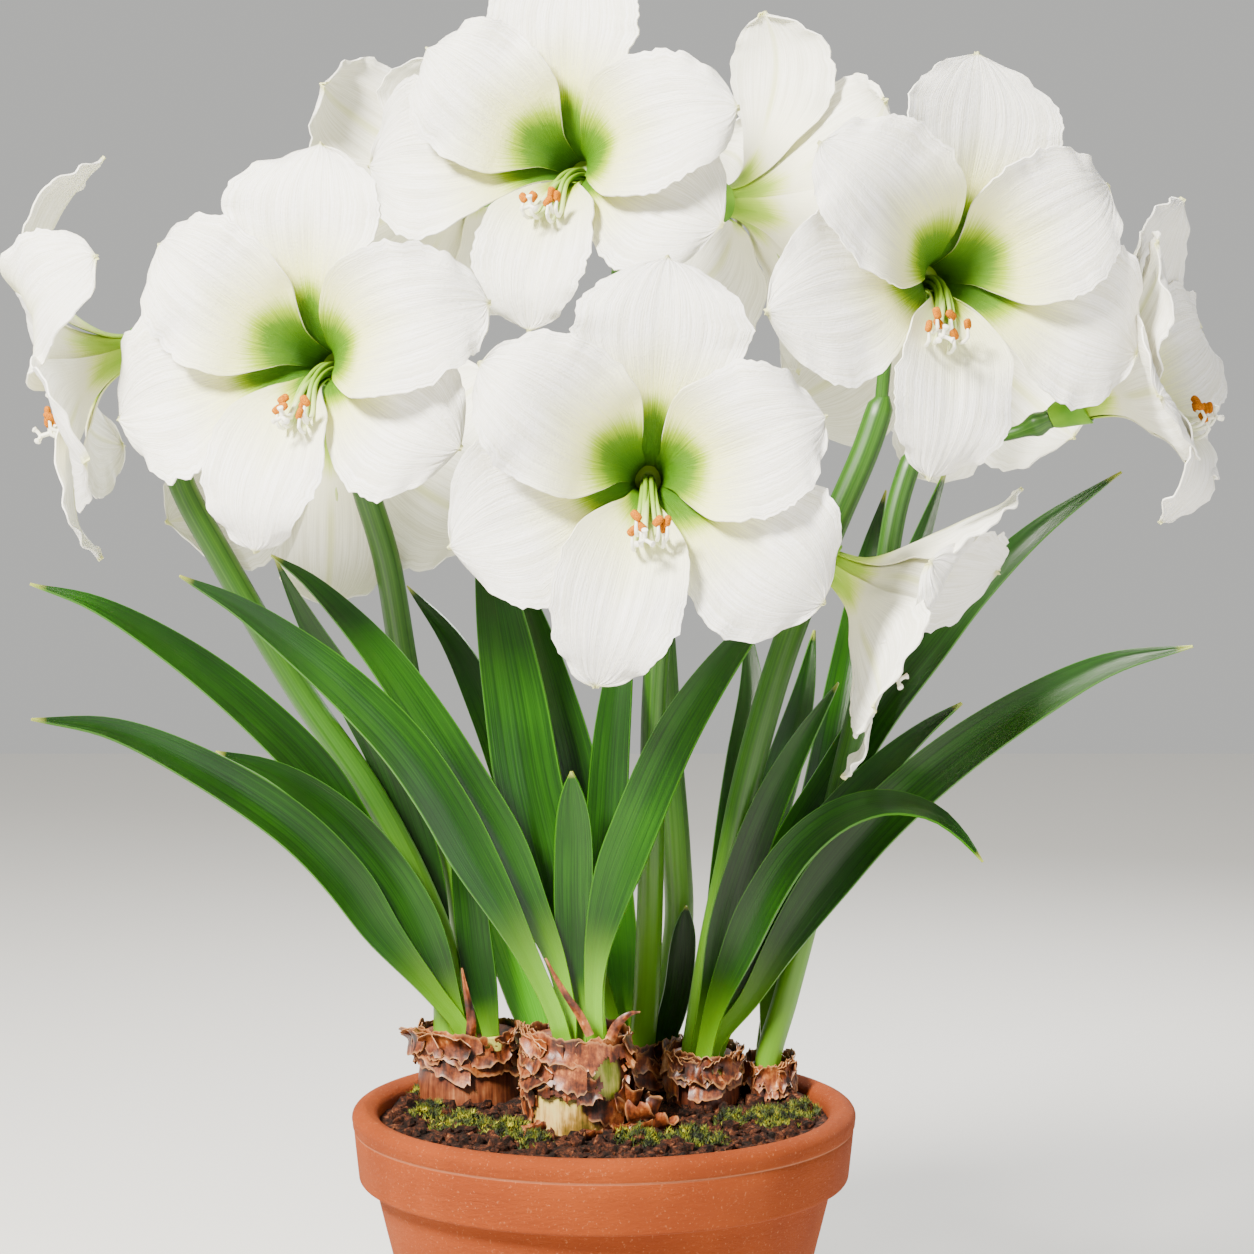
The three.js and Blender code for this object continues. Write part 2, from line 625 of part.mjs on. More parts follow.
// Each leaf: its midrib from the bulb to the tip, its half width, how far the blade is turned away from
// facing forward at the base and at the tip, and how deep the channel along it is.
const leaves = {
  leaf_left_low: {
    path: [[-68, 232, 28.5], [-70, 250, 27.5], [-85, 270, 23], [-109, 299, 16], [-128, 326, 8],
      [-155, 353, -2],
      [-200, 382, -20], [-244, 401, -40], [-283, 406, -60]],
    half: 11.5, turn: [0, -30],
  },
  leaf_left_mid: {
    path: [[-67, 232, 31.5], [-73, 255, 30.5], [-83, 284, 28], [-97, 314, 25], [-116, 341, 21],
      [-138, 363, 16],
      [-164, 380, 10], [-192, 390, 4]],
    half: 11, turn: [0, -20],
  },
  leaf_left_long: {
    path: [[-64, 232, 35], [-70, 256, 34], [-84, 289, 32], [-99, 316, 32], [-120, 343, 31], [-141, 377, 30],
      [-173, 410, 28], [-210, 439, 24], [-251, 463, 18], [-283, 473, 12]],
    half: 11.5, turn: [0, -25],
  },
  leaf_left_tall: {
    path: [[-75.5, 234, 57.5], [-78, 262, 58], [-83, 300, 60], [-88, 326, 60], [-97, 358, 60],
      [-108, 387, 58],
      [-125, 418, 50], [-144, 450, 36], [-162, 485, 20]],
    half: 10, turn: [0, 10], fold: 0.05,
  },
  leaf_left_short: {
    path: [[-54, 232, 38], [-58, 260, 40], [-63, 286, 43], [-67, 321, 45], [-71, 351, 47], [-74, 371, 48]],
    half: 9, turn: [0, 10],
  },
  leaf_centre_low: {
    path: [[-20, 244, -36], [-24, 258, -38], [-31, 274, -40], [-47, 306, -44], [-64, 336, -46],
      [-81, 366, -48],
      [-100, 393, -50], [-125, 419, -54], [-150, 440, -60], [-179, 461, -70], [-209, 477, -84]],
    half: 12, turn: [0, -25],
  },
  leaf_centre_left: {
    path: [[-18, 244, -32], [-18, 258, -32], [-24, 286, -32], [-37, 316, -33], [-51, 346, -34],
      [-69, 376, -34],
      [-87, 405, -34], [-108, 435, -34], [-128, 458, -34], [-147, 476, -34], [-164, 487, -34]],
    half: 11, turn: [0, -15],
  },
  leaf_centre_short: {
    path: [[-13, 244, -27], [-14, 286, -27], [-15, 316, -28], [-15, 346, -30], [-16, 380, -34]],
    half: 9.5, turn: [0, 0], round: true,
  },
  leaf_centre_right: {
    path: [[-4, 244, -32], [-5, 260, -33], [-4, 286, -35], [4, 321, -38], [18, 358, -42], [35, 396, -46],
      [53, 425, -50], [75, 453, -54], [92, 470, -60]],
    half: 11.5, turn: [0, 20],
  },
  leaf_centre_broad: {
    path: [[-19, 244, -22], [-18, 260, -20], [-22, 296, -16], [-28, 336, -12], [-37, 376, -8],
      [-43, 415, -4],
      [-50, 455, 0], [-56, 490, 2], [-60, 519, 4]],
    half: 16.5, turn: [0, 15], fold: 0.35,
  },
  leaf_centre_back: {
    path: [[-12, 244, -14], [-9, 262, -12], [-6, 296, -4], [-8, 336, 4], [-14, 381, 10], [-24, 420, 16],
      [-34, 455, 22], [-44, 485, 28]],
    half: 11, turn: [0, 0],
  },
  leaf_centre_upright: {
    path: [[-2, 244, -20], [-4, 262, -20], [-3, 301, -16], [1, 351, -10], [4, 396, -4], [9, 440, 2],
      [13, 475, 8]],
    half: 10, turn: [0, 10],
  },
  leaf_rear_left: {
    path: [[10, 226, 67.5], [9, 240, 67.5], [-4, 276, 66], [-24, 321, 68], [-40, 366, 76], [-56, 408, 84],
      [-75, 445, 92], [-97, 472, 100]],
    half: 12, turn: [0, 20],
  },
  leaf_rear_pale: {
    path: [[10, 228, 72], [10, 240, 72], [8, 271, 74], [4, 311, 80], [1, 351, 90], [0, 386, 100],
      [-1, 415, 110]],
    half: 12, turn: [0, 0],
  },
  leaf_rear_dark: {
    path: [[28, 226, 64.9], [30.3, 245, 64.7], [36.5, 270, 62], [39, 290, 60], [41, 313, 58]],
    half: 7, turn: [0, 0], round: true,
  },
  leaf_shoot: {
    path: [[-28, 212, 63], [-28, 232, 63], [-36, 261, 61], [-50, 301, 57], [-59, 331, 56], [-67, 358, 56]],
    half: 11, turn: [0, 0],
  },
  leaf_right_curl: {
    path: [[48, 224, 22], [50, 240, 22], [55, 261, 16], [65, 286, 8], [78, 314, 0], [96, 341, -8],
      [118, 358, -18], [141, 364, -28], [163, 359, -36], [178, 347, -42], [188, 335, -46]],
    half: 10, turn: [0, 45],
  },
  leaf_right_arch: {
    path: [[52.6, 224, 27], [53.9, 242, 26.6], [72, 266, 24], [90, 296, 20], [111, 326, 14], [137, 356, 6],
      [171, 386, -6], [211, 413, -20], [250, 433, -36], [291, 442, -52]],
    half: 12.5, turn: [0, 20],
  },
  leaf_right_mid: {
    path: [[55.5, 224, 32], [56.3, 242, 32], [70, 273, 31], [87, 316, 29], [112, 353, 28], [137, 381, 27],
      [159, 401, 26], [177, 414, 20]],
    half: 10.5, turn: [0, 15],
  },
  leaf_right_long: {
    path: [[55.5, 224, 37], [55.3, 242, 38], [69, 289, 44], [90, 336, 53], [113, 373, 57], [137, 411, 58],
      [159, 439, 55], [183, 469, 49], [215, 500, 40], [255, 528, 36]],
    half: 11, turn: [0, 20],
  },
  leaf_right_inner: {
    path: [[45.2, 224, 31], [47, 240, 30.5], [55, 272, 22], [65, 316, 16], [81, 361, 10], [97, 393, 6],
      [116, 424, 2]],
    half: 9.5, turn: [0, 10],
  },
  leaf_right_back: {
    path: [[46.5, 224, 52], [47.5, 243, 52.5], [59, 291, 66], [65, 341, 80], [70, 386, 94], [73, 420, 108],
      [71, 455, 122]],
    half: 11.5, turn: [0, 0],
  },
  leaf_right_blue: {
    path: [[54.4, 224, 46.7], [54, 243, 47.2], [63, 291, 56], [76, 341, 60], [90, 386, 66], [99, 420, 72],
      [104, 450, 78]],
    half: 11, turn: [0, 0],
  },
  leaf_far_tall: {
    path: [[81.5, 216, 48.4], [82, 244, 48.6], [82.5, 270, 51], [89, 301, 58], [103, 336, 62],
      [119, 376, 66],
      [133, 415, 70], [146, 465, 78], [158, 499, 88], [169, 530, 98]],
    half: 10, turn: [0, 0],
  },
  leaf_far_back: {
    path: [[79.8, 216, 52.6], [80, 242, 53], [84, 264, 56.5], [92, 292, 70], [101, 336, 92],
      [112, 386, 106], [122, 440, 120],
      [130, 485, 134], [139, 519, 148]],
    half: 11, turn: [0, 0],
  },
};

// A strap leaf: narrow where it leaves the bulb, even along its length, drawn to a point or rounded.
function leafGeometry({ path, half, turn, fold = 0.2, round = false }) {
  const curve = new THREE.CatmullRomCurve3(path.map((p) => seen(...p)));
  const baseHalf = 4.2;
  const tipHalf = 1.2;
  return sheet((u, v) => {
    const t = THREE.MathUtils.clamp(v, 0, 1);
    const centre = curve.getPointAt(t);
    const along = curve.getTangentAt(t);
    const away = centre.clone().sub(viewpoint).normalize();
    const right = away.clone().cross(along).normalize();
    const back = along.clone().cross(right);
    const angle = THREE.MathUtils.degToRad(mix(turn[0], turn[1], t));
    const side = right.multiplyScalar(Math.cos(angle)).addScaledVector(back, -Math.sin(angle));
    const face = side.clone().cross(along);
    const widen = THREE.MathUtils.smoothstep(t, 0.08, 0.4);
    const end = Math.max((t - 0.45) / 0.55, 0) ** (round ? 5 : 2.4);
    const width = mix(mix(baseHalf, half, widen), tipHalf, end);
    const s = 2 * u - 1;
    return centre.addScaledVector(side, s * width).addScaledVector(face, fold * width * Math.abs(s));
  }, 2, leafRows, leafThickness);
}

const group = new THREE.Group();
group.add(place('pot', potGeometry(), terracotta));
group.add(place('soil', soilGeometry(), earth));
Object.keys(bulbs).forEach((name) => {
  group.add(place(name, bulbGeometry(name), bulbSkin));
});
Object.entries(stems).forEach(([name, stem]) => {
  group.add(place(name, stemGeometry(stem), stemGreen));
});
Object.entries(leaves).forEach(([name, leaf]) => {
  group.add(place(name, leafGeometry(leaf), leafGreen));
});
Object.entries(flowers).forEach(([letter, flower], k) => {
  group.add(turnTo(place(`flower_${letter}`, flowerGeometry(flower, 11 + k), petalWhite), flower));
  group.add(turnTo(place(`stamens_${letter}`, stamenGeometry(31 + k), stamenCream), flower));
});

export default group;
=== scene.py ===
import bpy
import bmesh
import math
import random
from mathutils import Vector, Matrix, Quaternion, noise


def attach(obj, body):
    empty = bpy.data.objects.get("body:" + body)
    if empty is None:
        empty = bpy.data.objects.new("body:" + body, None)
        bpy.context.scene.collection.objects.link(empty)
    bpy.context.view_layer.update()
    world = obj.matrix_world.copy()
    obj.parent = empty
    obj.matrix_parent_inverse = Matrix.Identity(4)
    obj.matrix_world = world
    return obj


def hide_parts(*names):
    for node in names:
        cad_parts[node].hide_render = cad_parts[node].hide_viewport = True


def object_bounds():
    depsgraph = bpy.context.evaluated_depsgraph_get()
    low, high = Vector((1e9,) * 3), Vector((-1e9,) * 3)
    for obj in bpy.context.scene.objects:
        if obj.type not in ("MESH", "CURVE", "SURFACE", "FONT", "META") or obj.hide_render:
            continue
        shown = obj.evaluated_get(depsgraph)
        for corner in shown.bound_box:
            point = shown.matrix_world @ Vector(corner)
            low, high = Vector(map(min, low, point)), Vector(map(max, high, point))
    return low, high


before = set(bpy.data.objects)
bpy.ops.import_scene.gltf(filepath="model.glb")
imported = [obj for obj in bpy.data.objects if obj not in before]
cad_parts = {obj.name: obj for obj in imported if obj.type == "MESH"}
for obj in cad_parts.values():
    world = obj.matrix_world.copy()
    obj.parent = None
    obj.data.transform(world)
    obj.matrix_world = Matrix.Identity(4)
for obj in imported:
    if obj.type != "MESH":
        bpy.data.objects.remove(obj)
cad_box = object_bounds()

# Studio: a pale floor that runs into a pale room, lit by large soft lamps, with the camera where the
# photograph was taken from, a little above the middle of the plant and tilted down by three degrees.


def linear(hex_colour):
    """A colour written as sRGB hex, as the linear numbers that the shader sockets take."""
    parts = [int(hex_colour[i:i + 2], 16) / 255 for i in (1, 3, 5)]
    return tuple(c / 12.92 if c <= 0.04045 else ((c + 0.055) / 1.055) ** 2.4 for c in parts) + (1.0,)


def add_node(material, kind, inputs=None, stops=(), **settings):
    """Adds one node: its sockets as values or as what feeds them, its colour stops and its settings."""
    tree = material.node_tree
    made = tree.nodes.new("ShaderNode" + kind)
    for name, value in settings.items():
        setattr(made, name, value)
    for name, value in (inputs or {}).items():
        source = (value, 0) if isinstance(value, bpy.types.Node) else value
        if isinstance(source, tuple) and isinstance(source[0], bpy.types.Node):
            tree.links.new(source[0].outputs[source[1]], made.inputs[name])
        else:
            made.inputs[name].default_value = value
    if stops:
        elements = made.color_ramp.elements
        while len(elements) < len(stops):
            elements.new(0.5)
        for element, (position, colour) in zip(elements, stops):
            element.position = position
            element.color = linear(colour)
    return made


def new_material(name):
    """A material with no nodes in it yet."""
    material = bpy.data.materials.new(name)
    material.use_nodes = True
    material.node_tree.nodes.clear()
    return material


MM = 0.001
eye_x, eye_away, eye_z = 11.5, 1400, 525  # millimetres from the foot of the pot's axis
viewpoint = Vector((eye_x * MM, -eye_away * MM, eye_z * MM))
photo_pixels, focal_pixels = 1254, 2840
camera_data = bpy.data.cameras.new("camera")
camera_data.sensor_width = 36
camera_data.lens = focal_pixels / photo_pixels * camera_data.sensor_width
camera = bpy.data.objects.new("camera", camera_data)
camera.location = viewpoint
camera.rotation_euler = (math.radians(87), 0, 0)
bpy.context.scene.collection.objects.link(camera)
bpy.context.scene.camera = camera

bpy.ops.object.select_all(action="DESELECT")
bpy.ops.mesh.primitive_plane_add(size=8, location=(0, 0, 0))
floor = bpy.context.object
floor.name = "floor"
floor_paint = new_material("pale_matt_floor")
# Plain matt paint: it takes a soft shadow and shows no gloss.
shader = add_node(floor_paint, "BsdfPrincipled", {"Base Color": linear("#e9e7e2"), "Roughness": 0.9})
add_node(floor_paint, "OutputMaterial", {"Surface": shader})
floor.data.materials.append(floor_paint)

world = bpy.data.worlds.new("pale_room")
bpy.context.scene.world = world
world.use_nodes = True
world.node_tree.nodes["Background"].inputs["Color"].default_value = linear("#f1f1ee")
world.node_tree.nodes["Background"].inputs["Strength"].default_value = 0.62


def soft_lamp(name, place, aim, size, watts, colour):
    """A round soft lamp at a place, turned to what it aims at."""
    lamp = bpy.data.lights.new(name, "AREA")
    lamp.shape = "DISK"
    lamp.size = size
    lamp.energy = watts
    lamp.color = linear(colour)[:3]
    holder = bpy.data.objects.new(name, lamp)
    holder.location = place
    holder.rotation_euler = (Vector(aim) - Vector(place)).to_track_quat("-Z", "Y").to_euler()
    bpy.context.scene.collection.objects.link(holder)


soft_lamp("key_lamp", (-1.0, -1.3, 1.75), (0, 0, 0.5), 0.5, 215, "#fffaf0")
soft_lamp("fill_lamp", (1.5, -1.4, 0.9), (0, 0, 0.45), 1.4, 18, "#fbfbff")
soft_lamp("rim_lamp", (0.6, 1.4, 1.6), (0, 0, 0.55), 0.9, 40, "#ffffff")

# Pot: thrown terracotta, unglazed and matt, with a heavy rolled band at the rim, a flat foot and one
# drainage hole. The clay is orange-brown with pale salt specks, and a thin painted highlight runs along
# the faint scored groove under the lip.


def select_only(*pieces):
    """Selects these pieces and nothing else, with the first of them active."""
    bpy.ops.object.select_all(action="DESELECT")
    for piece in pieces:
        piece.select_set(True)
    if pieces:
        bpy.context.view_layer.objects.active = pieces[0]


def smooth(degrees):
    """Smooth shading, with edges sharper than an angle left hard."""
    bpy.ops.object.shade_smooth_by_angle(angle=math.radians(degrees))


def active_piece(name):
    """The active object, with itself and its mesh named."""
    piece = bpy.context.object
    piece.name = name
    piece.data.name = name
    return piece


def extruded_rings(name, sides, rings):
    """A ring of edges, extruded and scaled from one (radius, height) in millimetres to the next."""
    select_only()
    radius, height = rings[0]
    bpy.ops.mesh.primitive_circle_add(vertices=sides, radius=radius * MM, location=(0, 0, 0))
    piece = active_piece(name)
    bpy.ops.object.mode_set(mode="EDIT")
    bpy.ops.mesh.select_all(action="SELECT")
    bpy.ops.transform.translate(value=(0, 0, height * MM))
    for next_radius, next_height in rings[1:]:
        bpy.ops.mesh.extrude_edges_move(
            TRANSFORM_OT_translate={"value": (0, 0, (next_height - height) * MM)})
        bpy.ops.transform.resize(value=(next_radius / radius, next_radius / radius, 1),
                                 center_override=(0, 0, next_height * MM))
        radius, height = next_radius, next_height
    bpy.ops.mesh.select_all(action="SELECT")
    bpy.ops.mesh.remove_doubles(threshold=1e-6)
    bpy.ops.mesh.normals_make_consistent(inside=False)
    bpy.ops.object.mode_set(mode="OBJECT")
    return piece


def arc(centre, radius, start, end, steps):
    """Points (radius, height) along an arc in the section, angles in degrees."""
    turns = [math.radians(start + (end - start) * k / steps) for k in range(steps + 1)]
    return [(centre[0] + radius * math.cos(a), centre[1] + radius * math.sin(a)) for a in turns]


pot_rings = [(10, 0), (66, 0)] + arc((67.6, 2.4), 2.4, -90, -15, 3) + [
    (76, 26), (87, 70), (99, 118), (108, 154), (112.4, 172), (113.9, 178.3), (115.3, 179.2), (119.5, 179.1)
] + arc((119.6, 181.1), 2, -90, -5, 4) + [
    (123.2, 196), (123.9, 203.2), (123.5, 203.9), (124.0, 204.6), (124.6, 206.2)
] + arc((120.4, 209.8), 4.6, -20, 60, 5) + arc((119, 210.2), 4.8, 70, 120, 4) + [
    (114.6, 213.6), (112.6, 212), (111.6, 209.4), (111.5, 204), (111.5, 185), (105, 177), (62.5, 12),
    (10, 12), (10, 0)]
pot = extruded_rings("terracotta_pot", 128, pot_rings)
# The wall wavers by up to 0.22 mm, and less below 30 mm, so that the foot stays true.
wall_waver, usual_radius, true_foot = 0.22, 0.12, 0.03
for vertex in pot.data.vertices:
    waver = noise.noise(vertex.co * 7) * wall_waver
    vertex.co.xy *= 1 + waver * MM / usual_radius * min(1, vertex.co.z / true_foot)
smooth(50)

clay = new_material("unglazed_terracotta")
# Fired earthenware: matt, slightly mottled in patches of 20 to 40 mm, with pale specks near 1 mm.
place = add_node(clay, "TexCoord")
patches = add_node(clay, "TexNoise",
                   {"Vector": (place, "Object"), "Scale": 16, "Detail": 3, "Roughness": 0.5})
clay_colour = add_node(clay, "ValToRGB", {"Fac": patches},
                       [(0.3, "#76300c"), (0.5, "#80370e"), (0.7, "#8c3f14")])
specks = add_node(clay, "TexNoise",
                  {"Vector": (place, "Object"), "Scale": 700, "Detail": 3, "Roughness": 0.7})
speck_mask = add_node(clay, "ValToRGB", {"Fac": specks}, [(0.60, "#000000"), (0.72, "#909090")])
specked = add_node(clay, "Mix", {0: speck_mask, 6: clay_colour, 7: linear("#d49466")}, data_type="RGBA")
parts = add_node(clay, "SeparateXYZ", {"Vector": (place, "Object")})
# Painted highlight: a thin pale line along the scored groove under the lip, where its edge catches the
# light.
score_height = 0.2042
under_lip = add_node(clay, "Math", {0: (parts, 2), 1: score_height}, operation="SUBTRACT")
from_score = add_node(clay, "Math", {0: under_lip}, operation="ABSOLUTE")
groove_highlight = add_node(clay, "MapRange",
                 {"Value": from_score, "From Min": 0.0002, "From Max": 0.0008, "To Min": 0.2,
                  "To Max": 0.0})
groove_highlighted = add_node(clay, "Mix", {0: groove_highlight, 6: (specked, 2), 7: linear("#d9a581")}, data_type="RGBA")
flattened = add_node(clay, "Mapping", {"Vector": (place, "Object"), "Scale": (1, 1, 2.4)})
grit = add_node(clay, "TexNoise", {"Vector": flattened, "Scale": 210, "Detail": 6, "Roughness": 0.75})
clay_bump = add_node(clay, "Bump", {"Height": grit, "Strength": 0.9, "Distance": 0.0013})
shader = add_node(clay, "BsdfPrincipled",
                  {"Base Color": (groove_highlighted, 2), "Roughness": 0.9, "Specular IOR Level": 0.2,
                   "Normal": clay_bump})
add_node(clay, "OutputMaterial", {"Surface": shader})
pot.data.materials.append(clay)
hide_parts("pot")
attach(pot, "root")

# Potting soil: dark peat and bark crumbs, pressed in to seven millimetres below the rim, heaped a little
# against the bulbs, with loose clods on top. It is a filled body down to the pot's floor.

soil_level, soil_edge = 206.6, 110.8

# Each bulb's axis (x, y), its radius, its depth as a share of its width, and the height of its neck.
bulb_places = {
    "bulb_left": (-69, 43, 28, 1.0, 244),
    "bulb_centre": (-13, -21, 27, 1.0, 254),
    "bulb_right": (50, 34, 19.5, 1.4, 234),
    "bulb_rear": (18, 69, 24, 0.92, 232),
    "bulb_outer": (84, 44, 12, 1.45, 226),
}


def soil_height(x, y):
    """Height of the soil's surface, in millimetres, heaped towards the bulbs."""
    lumps = 2.1 * noise.noise(Vector((x, y, 3)) / 13) + 1.3 * noise.noise(Vector((x, y, 9)) / 5)
    fine = 0.7 * noise.noise(Vector((x, y, 5)) / 2.1)
    heap = sum(3.0 * math.exp(-((math.hypot(x - bx, (y - by) / deep) - r) / 9) ** 2)
               for bx, by, r, deep, top in bulb_places.values())
    return soil_level + lumps + fine + min(heap, 4)


soil_rings = [(1, 12.6), (62, 12.6), (104, 176.4), (soil_edge, 186), (soil_edge, 200)]
top_rings, top_height = 46, 207
soil_rings += [(soil_edge * (1 - k / top_rings) + 0.4, top_height) for k in range(top_rings)]
soil = extruded_rings("potting_soil", 160, soil_rings)
for vertex in soil.data.vertices:
    if vertex.co.z > (top_height - 1) * MM:
        vertex.co.z = soil_height(vertex.co.x / MM, vertex.co.y / MM) * MM
bpy.ops.object.mode_set(mode="EDIT")
bpy.ops.mesh.select_all(action="SELECT")
bpy.ops.mesh.fill_holes(sides=0)
bpy.ops.mesh.normals_make_consistent(inside=False)
bpy.ops.object.mode_set(mode="OBJECT")
bpy.ops.object.shade_smooth()

draw = random.Random(4)


def open_ground(margin):
    """A random point of the soil that is clear of the bulbs."""
    while True:
        angle = draw.uniform(0, 2 * math.pi)
        out = 106 * math.sqrt(draw.random())
        x, y = out * math.cos(angle), out * math.sin(angle)
        if all(math.hypot(x - bx, (y - by) / deep) > r + margin
               for bx, by, r, deep, top in bulb_places.values()):
            return x, y


clods = []
clod_count = 1100  # copies of three shapes, 20 faces each
for size_group in range(3):
    select_only()
    bpy.ops.mesh.primitive_ico_sphere_add(subdivisions=1, radius=1, location=(0, 0, 0))
    clod = active_piece("clod")
    for vertex in clod.data.vertices:
        vertex.co *= 1 + 0.8 * noise.noise(vertex.co * 1.7 + Vector((size_group * 5, 0, 0)))
    clods.append(clod)
crumb_points, crumb_faces = [], []
for k in range(clod_count):
    x, y = open_ground(0.5)
    half = draw.choice([0.8, 1.1, 1.5, 1.9, 2.4, 3.2, 4.0]) * MM
    shape = draw.choice(clods).data
    turn = Quaternion(Vector((draw.random(), draw.random(), draw.random())), draw.uniform(0, 6))
    first = len(crumb_points)
    flat = draw.uniform(0.5, 1)
    at = Vector((x * MM, y * MM, soil_height(x, y) * MM + half * 0.25))
    for vertex in shape.vertices:
        crumb_points.append(at + turn @ Vector((vertex.co.x, vertex.co.y * flat, vertex.co.z)) * half)
    crumb_faces += [[first + i for i in face.vertices] for face in shape.polygons]
for clod in clods:
    bpy.data.objects.remove(clod)


def mesh_piece(name, points, faces):
    """A piece from points in metres and the faces between them."""
    data = bpy.data.meshes.new(name)
    data.from_pydata([tuple(p) for p in points], [], faces)
    data.validate()
    piece = bpy.data.objects.new(name, data)
    bpy.context.scene.collection.objects.link(piece)
    return piece


crumbs = mesh_piece("soil_clods", crumb_points, crumb_faces)

peat = new_material("dark_potting_peat")
# Damp peat with bark: almost black, browner on top of the crumbs, rough and without gloss.
place = add_node(peat, "TexCoord")
shreds = add_node(peat, "TexNoise",
                  {"Vector": (place, "Object"), "Scale": 190, "Detail": 8, "Roughness": 0.8})
peat_colour = add_node(peat, "ValToRGB", {"Fac": shreds},
                       [(0.36, "#080503"), (0.46, "#1f110a"), (0.53, "#3f2013"), (0.60, "#6b3a22"),
                        (0.70, "#a5764e")])
peat_bump = add_node(peat, "Bump", {"Height": shreds, "Strength": 0.9, "Distance": 0.0025})
shader = add_node(peat, "BsdfPrincipled",
                  {"Base Color": peat_colour, "Roughness": 0.95, "Specular IOR Level": 0.2,
                   "Normal": peat_bump})
add_node(peat, "OutputMaterial", {"Surface": shader})
for piece in (soil, crumbs):
    piece.data.materials.append(peat)
    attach(piece, "root")
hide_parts("soil")

# Moss: cushions of short green shoots that grew on the damp soil round the bulbs. Each cushion is a low
# mound under hundreds of tiny pointed leaves.


def drift(x, y, z):
    """Smooth noise at a place, from about -1 to 1."""
    return noise.noise(Vector((x, y, z)))


# Each cushion's middle (x, y) and its half sizes, in millimetres.
moss_cushions = [(-92, 40, 9, 7), (-88, 2, 11, 9), (-68, -20, 17, 13), (-47, -42, 13, 11), (-33, -60, 9, 7),
                 (18, -56, 13, 9), (44, -52, 17, 11), (62, -14, 9, 7), (84, -6, 20, 14), (100, 10, 8, 8),
                 (-20, 96, 15, 8), (58, 88, 14, 8), (-60, 84, 10, 8)]
moss_edge, shoots_per_area = 108.5, 7
moss_points, moss_faces = [], []
for cx, cy, rx, ry in moss_cushions:
    for k in range(int(rx * ry * shoots_per_area)):
        angle = draw.uniform(0, 2 * math.pi)
        out = draw.random() ** 0.55
        edge = 1 + 0.35 * drift(3 * math.cos(angle), 3 * math.sin(angle), cx)
        x = cx + rx * out * edge * math.cos(angle)
        y = cy + ry * out * edge * math.sin(angle)
        if math.hypot(x, y) > moss_edge:
            continue
        mound = 6.4 * (1 - out ** 1.6) + 6.5 * noise.noise(Vector((x, y, 0)) / 4.2)
        if mound < -0.6:
            continue
        root = Vector((x, y, soil_height(x, y) + max(mound, 0) - 1.4))
        lean = Vector((draw.uniform(-1, 1), draw.uniform(-1, 1), draw.uniform(0.4, 1.9))).normalized()
        long, wide = draw.uniform(1.8, 4.2), draw.uniform(0.35, 0.6)
        side = lean.cross(Vector((draw.uniform(-1, 1), draw.uniform(-1, 1), 0.1))).normalized() * wide
        face = lean.cross(side).normalized() * wide
        first = len(moss_points)
        corners = [root + side, root - side * 0.5 + face * 0.8, root - side * 0.5 - face * 0.8,
                   root + lean * long]
        moss_points += [corner * MM for corner in corners]
        moss_faces += [[first + 2, first + 1, first], [first, first + 1, first + 3],
                       [first + 1, first + 2, first + 3], [first + 2, first, first + 3]]
moss = mesh_piece("moss_cushions", moss_points, moss_faces)
moss_green = new_material("cushion_moss")
# Living moss: yellow-green tips over darker olive shoots, patchy from shoot to shoot.
place = add_node(moss_green, "TexCoord")
tufts = add_node(moss_green, "TexNoise", {"Vector": (place, "Object"), "Scale": 230, "Detail": 5})
moss_colour = add_node(moss_green, "ValToRGB", {"Fac": tufts},
                       [(0.36, "#0a1000"), (0.48, "#2c3a02"), (0.57, "#5a6404"), (0.68, "#a8a018")])
shader = add_node(moss_green, "BsdfPrincipled",
                  {"Base Color": moss_colour, "Roughness": 0.8, "Subsurface Weight": 0.1,
                   "Subsurface Scale": 0.002})
add_node(moss_green, "OutputMaterial", {"Surface": shader})
moss.data.materials.append(moss_green)
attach(moss, "root")

# Bulbs: each has a smooth live tunic, swollen low down, under dry brown skins that overlap like sheets of
# paper, frayed along their edges and flared at the neck, where the leaves and stems come out.


def grid_piece(name, columns, rows, point):
    """A grid primitive whose vertices are laid at point(u, v), u across and v along, in millimetres."""
    select_only()
    bpy.ops.mesh.primitive_grid_add(x_subdivisions=columns, y_subdivisions=rows, size=2, location=(0, 0, 0))
    piece = active_piece(name)
    for vertex in piece.data.vertices:
        vertex.co = point(vertex.co.x / 2 + 0.5, vertex.co.y / 2 + 0.5) * MM
    return piece


def give_thickness(piece, millimetres, back_slot=0):
    """Makes a closed wall of a sheet, half to each side, with its other face in a further material slot."""
    select_only(piece)
    solidify = piece.modifiers.new("thickness", "SOLIDIFY")
    solidify.thickness = millimetres * MM
    solidify.offset = 0
    solidify.material_offset = back_slot
    bpy.ops.object.modifier_apply(modifier="thickness")
    smooth(60)


def joined(name, parts):
    """Parts joined in one piece."""
    select_only(*parts)
    if len(parts) > 1:
        bpy.ops.object.join()
    return active_piece(name)


def seen(x, z, depth):
    """The point at a depth that lines up with (x, z) of the upright plane through the pot's axis."""
    reach = (depth + eye_away) / eye_away
    return Vector((eye_x + (x - eye_x) * reach, depth, eye_z + (z - eye_z) * reach))


